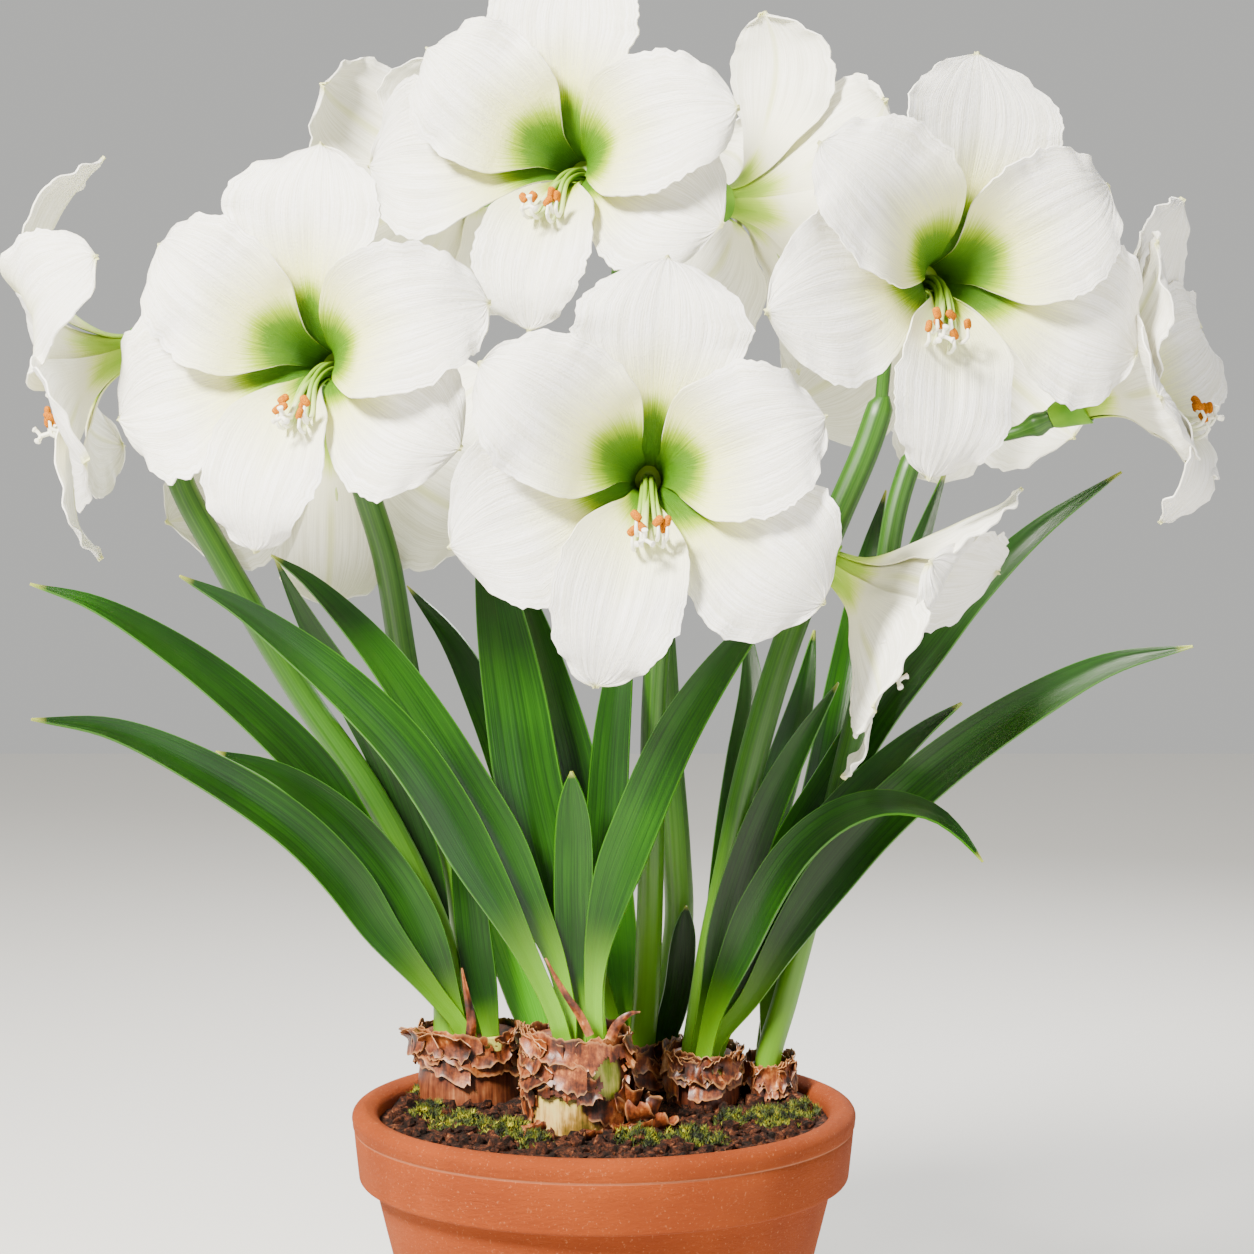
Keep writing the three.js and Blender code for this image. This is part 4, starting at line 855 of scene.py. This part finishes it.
# Each leaf's path as it lines up from the camera (x, z, depth), half its width, and its twist at the tip.
leaves = {
    "leaf_left_low": dict(path=[
        (-68, 232, 28.5), (-70, 250, 27.5), (-85, 270, 23), (-109, 299, 16), (-128, 326, 8),
        (-155, 353, -2), (-200, 382, -20), (-244, 401, -40), (-283, 406, -60)], half=11.5, turn=-30),
    "leaf_left_mid": dict(path=[
        (-67, 232, 31.5), (-73, 255, 30.5), (-83, 284, 28), (-97, 314, 25), (-116, 341, 21),
        (-138, 363, 16), (-164, 380, 10), (-192, 390, 4)], half=11, turn=-20),
    "leaf_left_long": dict(path=[
        (-64, 232, 35), (-70, 256, 34), (-84, 289, 32), (-99, 316, 32), (-120, 343, 31), (-141, 377, 30),
        (-173, 410, 28), (-210, 439, 24), (-251, 463, 18), (-283, 473, 12)], half=11.5, turn=-25),
    "leaf_left_tall": dict(path=[
        (-75.5, 234, 57.5), (-78, 262, 58), (-83, 300, 60), (-88, 326, 60), (-97, 358, 60),
        (-108, 387, 58), (-125, 418, 50), (-144, 450, 36), (-162, 485, 20)], half=10, turn=10, fold=0.05),
    "leaf_left_short": dict(path=[
        (-54, 232, 38), (-58, 260, 40), (-63, 286, 43), (-67, 321, 45), (-71, 351, 47), (-74, 371, 48)],
        half=9, turn=10),
    "leaf_centre_low": dict(path=[
        (-20, 244, -36), (-24, 258, -38), (-31, 274, -40), (-47, 306, -44), (-64, 336, -46),
        (-81, 366, -48), (-100, 393, -50), (-125, 419, -54), (-150, 440, -60), (-179, 461, -70),
        (-209, 477, -84)], half=12, turn=-25),
    "leaf_centre_left": dict(path=[
        (-18, 244, -32), (-18, 258, -32), (-24, 286, -32), (-37, 316, -33), (-51, 346, -34),
        (-69, 376, -34), (-87, 405, -34), (-108, 435, -34), (-128, 458, -34), (-147, 476, -34),
        (-164, 487, -34)], half=11, turn=-15),
    "leaf_centre_short": dict(path=[
        (-13, 244, -27), (-14, 286, -27), (-15, 316, -28), (-15, 346, -30), (-16, 380, -34)],
        half=9.5, turn=0, round=True),
    "leaf_centre_right": dict(path=[
        (-4, 244, -32), (-5, 260, -33), (-4, 286, -35), (4, 321, -38), (18, 358, -42), (35, 396, -46),
        (53, 425, -50), (75, 453, -54), (92, 470, -60)], half=11.5, turn=20),
    "leaf_centre_broad": dict(path=[
        (-19, 244, -22), (-18, 260, -20), (-22, 296, -16), (-28, 336, -12), (-37, 376, -8),
        (-43, 415, -4), (-50, 455, 0), (-56, 490, 2), (-60, 519, 4)], half=16.5, turn=15, fold=0.35),
    "leaf_centre_back": dict(path=[
        (-12, 244, -14), (-9, 262, -12), (-6, 296, -4), (-8, 336, 4), (-14, 381, 10), (-24, 420, 16),
        (-34, 455, 22), (-44, 485, 28)], half=11, turn=0),
    "leaf_centre_upright": dict(path=[
        (-2, 244, -20), (-4, 262, -20), (-3, 301, -16), (1, 351, -10), (4, 396, -4), (9, 440, 2),
        (13, 475, 8)], half=10, turn=10),
    "leaf_rear_left": dict(path=[
        (10, 226, 67.5), (9, 240, 67.5), (-4, 276, 66), (-24, 321, 68), (-40, 366, 76), (-56, 408, 84),
        (-75, 445, 92), (-97, 472, 100)], half=12, turn=20),
    "leaf_rear_pale": dict(path=[
        (10, 228, 72), (10, 240, 72), (8, 271, 74), (4, 311, 80), (1, 351, 90), (0, 386, 100),
        (-1, 415, 110)], half=12, turn=0, pale=True),
    "leaf_rear_dark": dict(path=[
        (28, 226, 64.9), (30.3, 245, 64.7), (36.5, 270, 62), (39, 290, 60), (41, 313, 58)],
        half=7, turn=0, round=True),
    "leaf_shoot": dict(path=[
        (-28, 212, 63), (-28, 232, 63), (-36, 261, 61), (-50, 301, 57), (-59, 331, 56), (-67, 358, 56)],
        half=11, turn=0, pale=True),
    "leaf_right_curl": dict(path=[
        (48, 224, 22), (50, 240, 22), (55, 261, 16), (65, 286, 8), (78, 314, 0), (96, 341, -8),
        (118, 358, -18), (141, 364, -28), (163, 359, -36), (178, 347, -42), (188, 335, -46)],
        half=10, turn=45),
    "leaf_right_arch": dict(path=[
        (52.6, 224, 27), (53.9, 242, 26.6), (72, 266, 24), (90, 296, 20), (111, 326, 14), (137, 356, 6),
        (171, 386, -6), (211, 413, -20), (250, 433, -36), (291, 442, -52)], half=12.5, turn=20),
    "leaf_right_mid": dict(path=[
        (55.5, 224, 32), (56.3, 242, 32), (70, 273, 31), (87, 316, 29), (112, 353, 28), (137, 381, 27),
        (159, 401, 26), (177, 414, 20)], half=10.5, turn=15),
    "leaf_right_long": dict(path=[
        (55.5, 224, 37), (55.3, 242, 38), (69, 289, 44), (90, 336, 53), (113, 373, 57), (137, 411, 58),
        (159, 439, 55), (183, 469, 49), (215, 500, 40), (255, 528, 36)], half=11, turn=20),
    "leaf_right_inner": dict(path=[
        (45.2, 224, 31), (47, 240, 30.5), (55, 272, 22), (65, 316, 16), (81, 361, 10), (97, 393, 6),
        (116, 424, 2)], half=9.5, turn=10),
    "leaf_right_back": dict(path=[
        (46.5, 224, 52), (47.5, 243, 52.5), (59, 291, 66), (65, 341, 80), (70, 386, 94), (73, 420, 108),
        (71, 455, 122)], half=11.5, turn=0),
    "leaf_right_blue": dict(path=[
        (54.4, 224, 46.7), (54, 243, 47.2), (63, 291, 56), (76, 341, 60), (90, 386, 66), (99, 420, 72),
        (104, 450, 78)], half=11, turn=0),
    "leaf_far_tall": dict(path=[
        (81.5, 216, 48.4), (82, 244, 48.6), (82.5, 270, 51), (89, 301, 58), (103, 336, 62),
        (119, 376, 66), (133, 415, 70), (146, 465, 78), (158, 499, 88), (169, 530, 98)], half=10, turn=0),
    "leaf_far_back": dict(path=[
        (79.8, 216, 52.6), (80, 242, 53), (84, 264, 56.5), (92, 292, 70), (101, 336, 92), (112, 386, 106),
        (122, 440, 120), (130, 485, 134), (139, 519, 148)], half=11, turn=0),
}


def leaf_point(run, half, turn, fold, rounded, seed):
    """The rule that lays a leaf's grid: narrow at its foot, channelled, twisted, and pointed or rounded."""
    foot_half, tip_half = 4.2, 0.35
    rows = {}

    def frame_at(t):
        key = round(t, 5)
        if key not in rows:
            centre, along = run.at(t), run.heading(t)
            away = (centre - viewpoint / MM).normalized()
            right = away.cross(along).normalized()
            back = along.cross(right)
            angle = math.radians(turn * t)
            side = right * math.cos(angle) - back * math.sin(angle)
            end = max((t - 0.45) / 0.55, 0) ** (5 if rounded else 2.4)
            width = foot_half + (half - foot_half) * ease(0.08, 0.4, t)
            width += (tip_half - width) * end
            rows[key] = (centre, side, side.cross(along), width)
        return rows[key]

    def point(u, v):
        centre, side, face, width = frame_at(v)
        s = 2 * u - 1
        channel = fold * width * (abs(s) ** 1.5 if fold < 0.3 else abs(s))
        sway = 0.6 * drift(v * 5, seed, s) * abs(s)
        return centre + side * s * width + face * (channel + sway)

    return point


def leaf_material(name, low, middle, high, rim_colour, foot_colour, gloss):
    """Strap leaf skin: parallel veins about 1 mm apart, a lighter rim, and a foot that fades to yellow."""
    skin = new_material(name)
    place = add_node(skin, "TexCoord")
    parts = add_node(skin, "SeparateXYZ", {"Vector": (place, "UV")})
    lengthwise = add_node(skin, "Mapping", {"Vector": (place, "UV"), "Scale": (22, 1.6, 1)})
    veins = add_node(skin, "TexNoise", {"Vector": lengthwise, "Scale": 1.6, "Detail": 4, "Roughness": 0.55})
    broad = add_node(skin, "TexNoise", {"Vector": (place, "Object"), "Scale": 14, "Detail": 2})
    both = add_node(skin, "Mix", {0: 0.45, 2: veins, 3: broad}, data_type="FLOAT")
    blade = add_node(skin, "ValToRGB", {"Fac": both}, [(0.32, low), (0.5, middle), (0.68, high)])
    off = add_node(skin, "Math", {0: parts, 1: 0.5}, operation="SUBTRACT")
    from_middle = add_node(skin, "Math", {0: off}, operation="ABSOLUTE")
    rim = add_node(skin, "MapRange",
                   {"Value": from_middle, "From Min": 0.47, "From Max": 0.497, "To Max": 0.6})
    rimmed = add_node(skin, "Mix", {0: rim, 6: blade, 7: linear(rim_colour)}, data_type="RGBA")
    foot = add_node(skin, "MapRange",
                    {"Value": (parts, 1), "From Min": 0.02, "From Max": 0.27, "To Min": 1.0, "To Max": 0.0},
                    interpolation_type="SMOOTHSTEP")
    footed = add_node(skin, "Mix", {0: foot, 6: (rimmed, 2), 7: linear(foot_colour)}, data_type="RGBA")
    tip = add_node(skin, "MapRange",
                   {"Value": (parts, 1), "From Min": 0.975, "From Max": 1.0, "To Max": 0.8})
    tipped = add_node(skin, "Mix", {0: tip, 6: (footed, 2), 7: linear("#a9b04a")}, data_type="RGBA")
    ribs = add_node(skin, "Bump", {"Height": veins, "Strength": 0.25, "Distance": 0.0007})
    shader = add_node(skin, "BsdfPrincipled",
                      {"Base Color": (tipped, 2), "Roughness": gloss, "Specular IOR Level": 0.26,
                       "Coat Weight": 0.03, "Coat Roughness": 0.3, "Subsurface Weight": 0.06,
                       "Subsurface Scale": 0.003, "Normal": ribs})
    add_node(skin, "OutputMaterial", {"Surface": shader})
    return skin


# Old leaves are dark and shine above and are dull beneath; young ones are a clear yellow-green.
leaf_upper = leaf_material("glossy_leaf_upper", "#061c00", "#0e3400", "#205200", "#3a7806", "#6ba416", 0.30)
leaf_under = leaf_material("dull_leaf_underside", "#1a5202", "#2a6a06", "#428612", "#6aa024", "#80b428",
                           0.42)
leaf_young = leaf_material("young_leaf", "#2c7604", "#408e0c", "#5ea81e", "#7cb42c", "#8cbc2c", 0.38)

for seed, (name, leaf) in enumerate(leaves.items()):
    run = Run([seen(*p) for p in leaf["path"]])
    piece = grid_piece(name + "_blade", 12, max(24, int(run.length / 7)),
                       leaf_point(run, leaf["half"], leaf["turn"], leaf.get("fold", 0.2),
                                  leaf.get("round", False), 3.3 * seed))
    piece.data.materials.append(leaf_young if leaf.get("pale") else leaf_upper)
    piece.data.materials.append(leaf_under)
    give_thickness(piece, 1.3, 1)
    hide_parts(name)
    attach(piece, "root")

# Flowers: six broad satin-white tepals, three outer and three inner, joined low down in a short green
# tube. They are finely veined, waved at the rim and drawn to a small point, with a green star at the heart.

# Midribs as (distance from the flower's axis, distance forward) in millimetres, half widths along them, and
# how sharply the tepal is hollowed across, as one over the radius.
outer_midrib = [(6, 5), (7.4, 20), (12, 32), (30, 47), (54, 57), (78, 60), (97, 53)]
inner_midrib = [(5.6, 5), (6.6, 20), (10.4, 34), (27, 52), (50, 66), (73, 71), (92, 63)]
outer_widths = [(0, 3.4), (0.13, 5.4), (0.25, 8.5), (0.435, 21), (0.58, 35), (0.7, 41), (0.8, 38.5),
                (0.9, 26), (0.955, 15), (0.978, 7), (0.986, 2.2), (1, 1.1)]
inner_widths = [(0, 3.2), (0.12, 5.2), (0.265, 10), (0.35, 19), (0.447, 30), (0.56, 35), (0.68, 35.5),
                (0.78, 32.5), (0.87, 25.5), (0.95, 15.5), (0.978, 7), (0.986, 2.2), (1, 1.1)]
hollows = [(0, 0.13), (0.25, 0.07), (0.45, 0.022), (0.7, 0.008), (1, 0.004)]


def between(stops, t):
    """The value at t, eased from one (place, value) stop to the next."""
    k = 1
    while k < len(stops) - 1 and t > stops[k][0]:
        k += 1
    (t0, a), (t1, b) = stops[k - 1], stops[k]
    return a + (b - a) * ease(t0, t1, t)


def rounded_width(widths, t):
    """Half width of a tepal at the share t of its length, rounded from one stop to the next."""
    k = 1
    while k < len(widths) - 1 and t > widths[k][0]:
        k += 1
    before, (t0, a), (t1, b) = widths[max(k - 2, 0)], widths[k - 1], widths[k]
    after = widths[min(k + 1, len(widths) - 1)]
    s = max(0.0, min(1.0, (t - t0) / (t1 - t0)))
    start = (b - before[1]) / (t1 - before[0]) * (t1 - t0)
    end = (after[1] - a) / (after[0] - t0) * (t1 - t0)
    return (a * (1 + 2 * s) * (1 - s) ** 2 + start * s * (1 - s) ** 2
            + b * (3 - 2 * s) * s * s + end * (s - 1) * s * s)


def tepal_point(angle, inner, reach, width, bend, phase, roll_back):
    """The rule that lays a tepal's grid: up its midrib and across, with its waves, pleats and groove."""
    throat, limb_length = 28, 65
    midrib = []
    for r, z in (inner_midrib if inner else outer_midrib):
        out = max(r - throat, 0)
        midrib.append(Vector((r + out * (reach - 1), 0, z - bend * (out / limb_length) ** 2)))
    run = Run(midrib)
    turn = Matrix.Rotation(angle, 3, "Z")
    rows = {}

    def row_at(v):
        key = round(v, 5)
        if key not in rows:
            along = run.heading(v)
            half = width * rounded_width(inner_widths if inner else outer_widths, v)
            rows[key] = (run.at(v), Vector((-along.z, 0, along.x)), half, between(hollows, v))
        return rows[key]

    def point(u, v):
        centre, inward, half, hollow = row_at(v)
        q = 2 * u - 1
        s = q * half
        limb = ease(0.42, 0.68, v)
        edge = abs(q) ** 3
        tip = ease(0.78, 0.93, v)
        ruffle = limb * edge * (3.4 * drift(v * 8, q * 1.2, phase) + 1.6 * drift(v * 21, q * 2, phase + 4))
        crimp = tip * edge * 1.3 * math.sin(64 * v + phase) * (1 - ease(0.97, 1, v))
        swell = 2.4 * limb * drift(v * 3.4, q * 1.2, phase + 9)
        pleat = limb * (0.22 * math.sin(34 * q + phase) + 0.16 * math.sin(57 * q)) * (1 - edge)
        groove = 1.1 * math.exp(-((s / 6) ** 2)) * ease(0.35, 0.6, v) * (1 - 0.8 * ease(0.75, 1, v))
        frill = (limb * edge * (1 - ease(0.93, 0.98, v))
                 * (2.4 * drift(v * 17, q, phase) + 1.9 * drift(v * 44, q, phase)))
        spot = centre.copy()
        spot.y += math.sin(hollow * s) / hollow + (frill if q > 0 else -frill)
        spot += inward * ((1 - math.cos(hollow * s)) / hollow + ruffle + crimp + swell + pleat - groove
                          - roll_back * q * q * limb)
        return turn @ spot

    return point


def petal_material(name, greens, shift, body, rib, rib_width, rib_end, relief_share):
    """Petal skin: satin white, green at the heart, with veins near 1 mm apart that fan to the rim."""
    skin = new_material(name)
    place = add_node(skin, "TexCoord")
    parts = add_node(skin, "SeparateXYZ", {"Vector": (place, "UV")})
    off = add_node(skin, "Math", {0: parts, 1: 0.5}, operation="SUBTRACT")
    from_middle = add_node(skin, "Math", {0: off}, operation="ABSOLUTE")
    fan = add_node(skin, "Mapping", {"Vector": (place, "UV"), "Scale": (52, 1.5, 1)})
    veins = add_node(skin, "TexNoise", {"Vector": fan, "Scale": 1.7, "Detail": 5, "Roughness": 0.65})
    along = add_node(skin, "Math", {0: (parts, 1), 1: 1.18}, operation="MULTIPLY")
    # How far along the tepal the green runs: in streaks between the veins, furthest beside the midrib.
    pull = add_node(skin, "Math", {0: from_middle, 1: 0.20, 2: along}, operation="MULTIPLY_ADD")
    jag = add_node(skin, "Math", {0: veins, 1: 0.15, 2: pull}, operation="MULTIPLY_ADD")
    colour = add_node(skin, "ValToRGB", {"Fac": jag},
                      [(0.35 - shift, greens[0]), (0.47 - shift, greens[1]), (0.52 - shift, greens[2]),
                       (0.58 - shift, greens[3]), (0.82, body)])
    on_limb = add_node(skin, "MapRange",
                       {"Value": jag, "From Min": 0.52 - shift, "From Max": 0.70, "To Min": 0.0,
                        "To Max": 0.55})
    vein_mask = add_node(skin, "MapRange",
                         {"Value": veins, "From Min": 0.42, "From Max": 0.60, "To Max": on_limb})
    veined = add_node(skin, "Mix", {0: vein_mask, 6: colour, 7: linear("#cfccb4")}, data_type="RGBA")
    ridge = add_node(skin, "MapRange",
                     {"Value": from_middle, "From Min": 0.01, "From Max": rib_width, "To Min": rib,
                      "To Max": 0.0}, interpolation_type="SMOOTHSTEP")
    fade = add_node(skin, "ValToRGB", {"Fac": (parts, 1)},
                    [(0.36, "#000000"), (0.48, "#ffffff"), (0.8, rib_end)])
    rib_mask = add_node(skin, "Math", {0: ridge, 1: fade}, operation="MULTIPLY")
    ribbed = add_node(skin, "Mix", {0: rib_mask, 6: (veined, 2), 7: linear("#cfd48a")}, data_type="RGBA")
    tip = add_node(skin, "MapRange",
                   {"Value": (parts, 1), "From Min": 0.96, "From Max": 0.985, "To Max": 0.8})
    tipped = add_node(skin, "Mix", {0: tip, 6: (ribbed, 2), 7: linear("#dfe08c")}, data_type="RGBA")
    cells = add_node(skin, "TexNoise",
                     {"Vector": (place, "Object"), "Scale": 620, "Detail": 3, "Roughness": 0.7})
    relief = add_node(skin, "Mix", {0: 0.4, 2: veins, 3: cells}, data_type="FLOAT")
    bump = add_node(skin, "Bump", {"Height": relief, "Strength": relief_share, "Distance": 0.0014})
    shader = add_node(skin, "BsdfPrincipled",
                      {"Base Color": (tipped, 2), "Roughness": 0.5, "Specular IOR Level": 0.25,
                       "Subsurface Weight": 0.2, "Subsurface Radius": (1.0, 0.97, 0.75),
                       "Subsurface Scale": 0.0018, "Normal": bump})
    add_node(skin, "OutputMaterial", {"Surface": shader})
    return skin


# The face is white with a yellow-green star at the heart, which runs a little further on the lowest tepal.
# The back has a pale green foot and a green line up its midrib.
petal_face = petal_material("satin_white_petal", ("#3c6c00", "#527e00", "#9cb800", "#eef0a2"), 0.0,
                            "#fefcf7", 0.16, 0.08, "#000000", 0.9)
petal_low = petal_material("satin_white_lower_petal", ("#386800", "#5a8c00", "#bccc38", "#f0f2b4"), 0.08,
                           "#fefcf7", 0.12, 0.08, "#000000", 0.9)
petal_back = petal_material("petal_back", ("#84b014", "#accc3c", "#dce884", "#f6f4d4"), 0.10, "#fcfaf0",
                            0.6, 0.05, "#dadada", 0.4)

tube_skin = new_material("flower_tube_skin")
# The joined foot of the tepals: smooth, pale green, a little darker in streaks.
place = add_node(tube_skin, "TexCoord")
mottle = add_node(tube_skin, "TexNoise", {"Vector": (place, "Object"), "Scale": 70, "Detail": 2})
tube_colour = add_node(tube_skin, "ValToRGB", {"Fac": mottle}, [(0.35, "#4c8600"), (0.65, "#6a9e08")])
shader = add_node(tube_skin, "BsdfPrincipled",
                  {"Base Color": tube_colour, "Roughness": 0.5, "Specular IOR Level": 0.3})
add_node(tube_skin, "OutputMaterial", {"Surface": shader})


def flower_frame(flower):
    """Takes a flower built facing up at the origin to its place."""
    forward = facing_of(flower["turn"], flower["rise"])
    right = Vector((0, 0, 1)).cross(forward).normalized()
    up = forward.cross(right)
    place = Matrix((right, up, forward)).transposed().to_4x4()
    place.translation = base_of(flower) * MM
    return place


def settle(piece, place):
    """Moves a piece's own vertices, inside the solids' box, so its object stays unturned at the origin."""
    piece.data.transform(place)
    for vertex in piece.data.vertices:
        vertex.co = [min(max(c, low), high) for c, low, high in zip(vertex.co, *cad_box)]
    piece.data.update()


# The fifth tepal is the lowest, narrower than the others and greener.
lowest, unbent = 4, (0, 0, 0, 0, 0, 0)
for seed, (letter, flower) in enumerate(flowers.items()):
    draw = random.Random(50 + seed)
    tepals = []
    columns, rows = (26, 38) if letter in "GIJK" else (38, 56)
    for k, reach in enumerate(flower["reach"]):
        stray = (0 if letter in "CEFGJK" else 6) * (draw.random() - 0.5)
        phase, roll_back = 6 * draw.random(), 5 * draw.random() - 1.5
        point = tepal_point(math.radians(flower["angles"][k]), k % 2 == 0, reach,
                            0.86 if k == lowest else 1, flower.get("bends", unbent)[k] + stray,
                            phase, roll_back)
        # The grid's rows lie closer together towards the tip.
        tepal = grid_piece("tepal", columns, rows,
                           lambda u, v, laid=point: laid(u, 1.22 * v - 0.22 * v ** 3 if v < 1 else 1))
        tepal.data.materials.append(petal_back)
        tepal.data.materials.append(petal_low if k == lowest else petal_face)
        give_thickness(tepal, 0.8, 1)
        tepals.append(tepal)
    tube = extruded_rings("tube", 48, [(0.4, 0.1), (5.4, 0.1), (6.6, 3), (8.8, 12), (10.4, 18), (9.6, 18.6),
                                      (7.6, 12), (5, 8.2), (0.4, 8)])
    smooth(50)
    tube.data.materials.append(tube_skin)
    piece = joined(f"flower_{letter}_tepals", tepals + [tube])
    settle(piece, flower_frame(flower))
    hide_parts(f"flower_{letter}")
    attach(piece, "root")

# Stamens and style: six slender filaments, green low down and white above, that hang forward and turn up
# at the end, each with an orange anther across it, and one longer white style with a three-lobed stigma.

filament_skin = new_material("filament_and_style")
# Smooth, faintly wet stalks: green at the heart of the flower, then yellow-green, and white at the tip.
place = add_node(filament_skin, "TexCoord")
parts = add_node(filament_skin, "SeparateXYZ", {"Vector": (place, "UV")})
filament_colour = add_node(filament_skin, "ValToRGB", {"Fac": (parts, 1)},
                           [(0.5, "#64900c"), (0.74, "#86ac28"), (0.86, "#c8d686"), (0.93, "#f4f4e0")])
shader = add_node(filament_skin, "BsdfPrincipled", {"Base Color": filament_colour, "Roughness": 0.4})
add_node(filament_skin, "OutputMaterial", {"Surface": shader})
stigma_skin = new_material("white_stigma")
# Soft white flesh, a little warmer than the petals.
shader = add_node(stigma_skin, "BsdfPrincipled", {"Base Color": linear("#f4f2e2"), "Roughness": 0.5})
add_node(stigma_skin, "OutputMaterial", {"Surface": shader})
filament_foot = new_material("green_flower_floor")
# Smooth green floor of the tube, which the filaments grow from.
shader = add_node(filament_foot, "BsdfPrincipled",
                  {"Base Color": linear("#8fb428"), "Roughness": 0.4, "Specular IOR Level": 0.3})
add_node(filament_foot, "OutputMaterial", {"Surface": shader})
pollen = new_material("orange_pollen")
# Split anther sacs covered in powdery orange pollen, whose grains are drawn at 0.4 mm so that they show.
place = add_node(pollen, "TexCoord")
grains = add_node(pollen, "TexNoise", {"Vector": (place, "Object"), "Scale": 2500, "Detail": 2})
pollen_colour = add_node(pollen, "ValToRGB", {"Fac": grains},
                         [(0.35, "#8c4a00"), (0.55, "#b86800"), (0.7, "#d48800")])
pollen_bump = add_node(pollen, "Bump", {"Height": grains, "Strength": 0.7, "Distance": 0.0004})
shader = add_node(pollen, "BsdfPrincipled",
                  {"Base Color": pollen_colour, "Roughness": 0.9, "Specular IOR Level": 0.1,
                   "Normal": pollen_bump})
add_node(pollen, "OutputMaterial", {"Surface": shader})

swung = {"B": 7, "D": -18}  # how far a flower's stamens hang to one side, in millimetres
for seed, (letter, flower) in enumerate(flowers.items()):
    draw = random.Random(90 + seed)
    parts = []
    aside = swung.get(letter, 0)
    disc = extruded_rings("disc", 24, [(0.3, 8.5), (5, 8.5), (8, 14), (7.4, 15.5), (4, 16.6), (0.3, 17)])
    disc.data.materials.append(filament_foot)
    parts.append(disc)
    for k in range(6):
        angle = math.radians(60 * k)
        side, rise = math.cos(angle), math.sin(angle)
        end = Vector((9.5 * side + aside + draw.uniform(-2.2, 2.2), -21 + 2.5 * rise - 6 * draw.random(),
                      66 + 6 * draw.random()))
        run = Run([Vector((2.5 * side, 2.5 * rise, 9)), Vector((2.6 * side, 2.6 * rise - 3, 26)),
                   Vector((3.6 * side + 0.3 * aside, 1.8 * rise - 12, 44)),
                   Vector((6.5 * side + 0.68 * aside, end.y - 5, 57)),
                   Vector((end.x - 0.8 * side, end.y - 8.5, end.z - 4)),
                   Vector((end.x, end.y - 6.5, end.z + 1)), end])
        filament = tube_piece("filament", run, 26, 8,
                              lambda t, a: 1.25 - 0.35 * t - 0.45 * ease(0.93, 1, t))
        filament.data.materials.append(filament_skin)
        lie = Vector((draw.uniform(-0.8, 0.8), draw.uniform(0.4, 1), 0.3 * side)).normalized()
        crown = Vector((0, 0, 0.5))
        sac = Run([end - lie * 2.9, end - lie * 1.2 + crown, end + lie * 1.2 + crown, end + lie * 2.9])
        anther = tube_piece("anther", sac, 12, 12, lambda t, a: (
            0.2 + 1.75 * max(0.0, 1 - (2 * t - 1) ** 4) ** 0.5 * (1 - 0.3 * abs(math.cos(a)) ** 8)))
        anther.data.materials.append(pollen)
        parts += [filament, anther]
    style_run = Run([Vector((0, 0, 9)), Vector((0, -3, 26)), Vector((-1 + 0.4 * aside, -14, 48)),
                     Vector((aside - 2, -29, 68)), Vector((1.1 * aside - 2, -30, 76))])
    style = tube_piece("style", style_run, 28, 10, lambda t, a: 1.4 - 0.25 * t)
    style.data.materials.append(filament_skin)
    parts.append(style)
    for k in range(3):
        turn = math.radians(90 + 120 * k)
        out = Vector((math.cos(turn), math.sin(turn), 0.35)).normalized()
        tip = Vector((1.1 * aside - 2, -30, 75.4))
        lobe = tube_piece("lobe", Run([tip, tip + out * 2.4, tip + out * 5 + Vector((0, 0, 1))]), 12, 12,
                          lambda t, a: 0.95 + 0.55 * ease(0.6, 0.85, t) - 1.3 * ease(0.9, 1, t) ** 2)
        lobe.data.materials.append(stigma_skin)
        parts.append(lobe)
    piece = joined(f"stamens_{letter}_cluster", parts)
    settle(piece, flower_frame(flower))
    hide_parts(f"stamens_{letter}")
    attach(piece, "root")
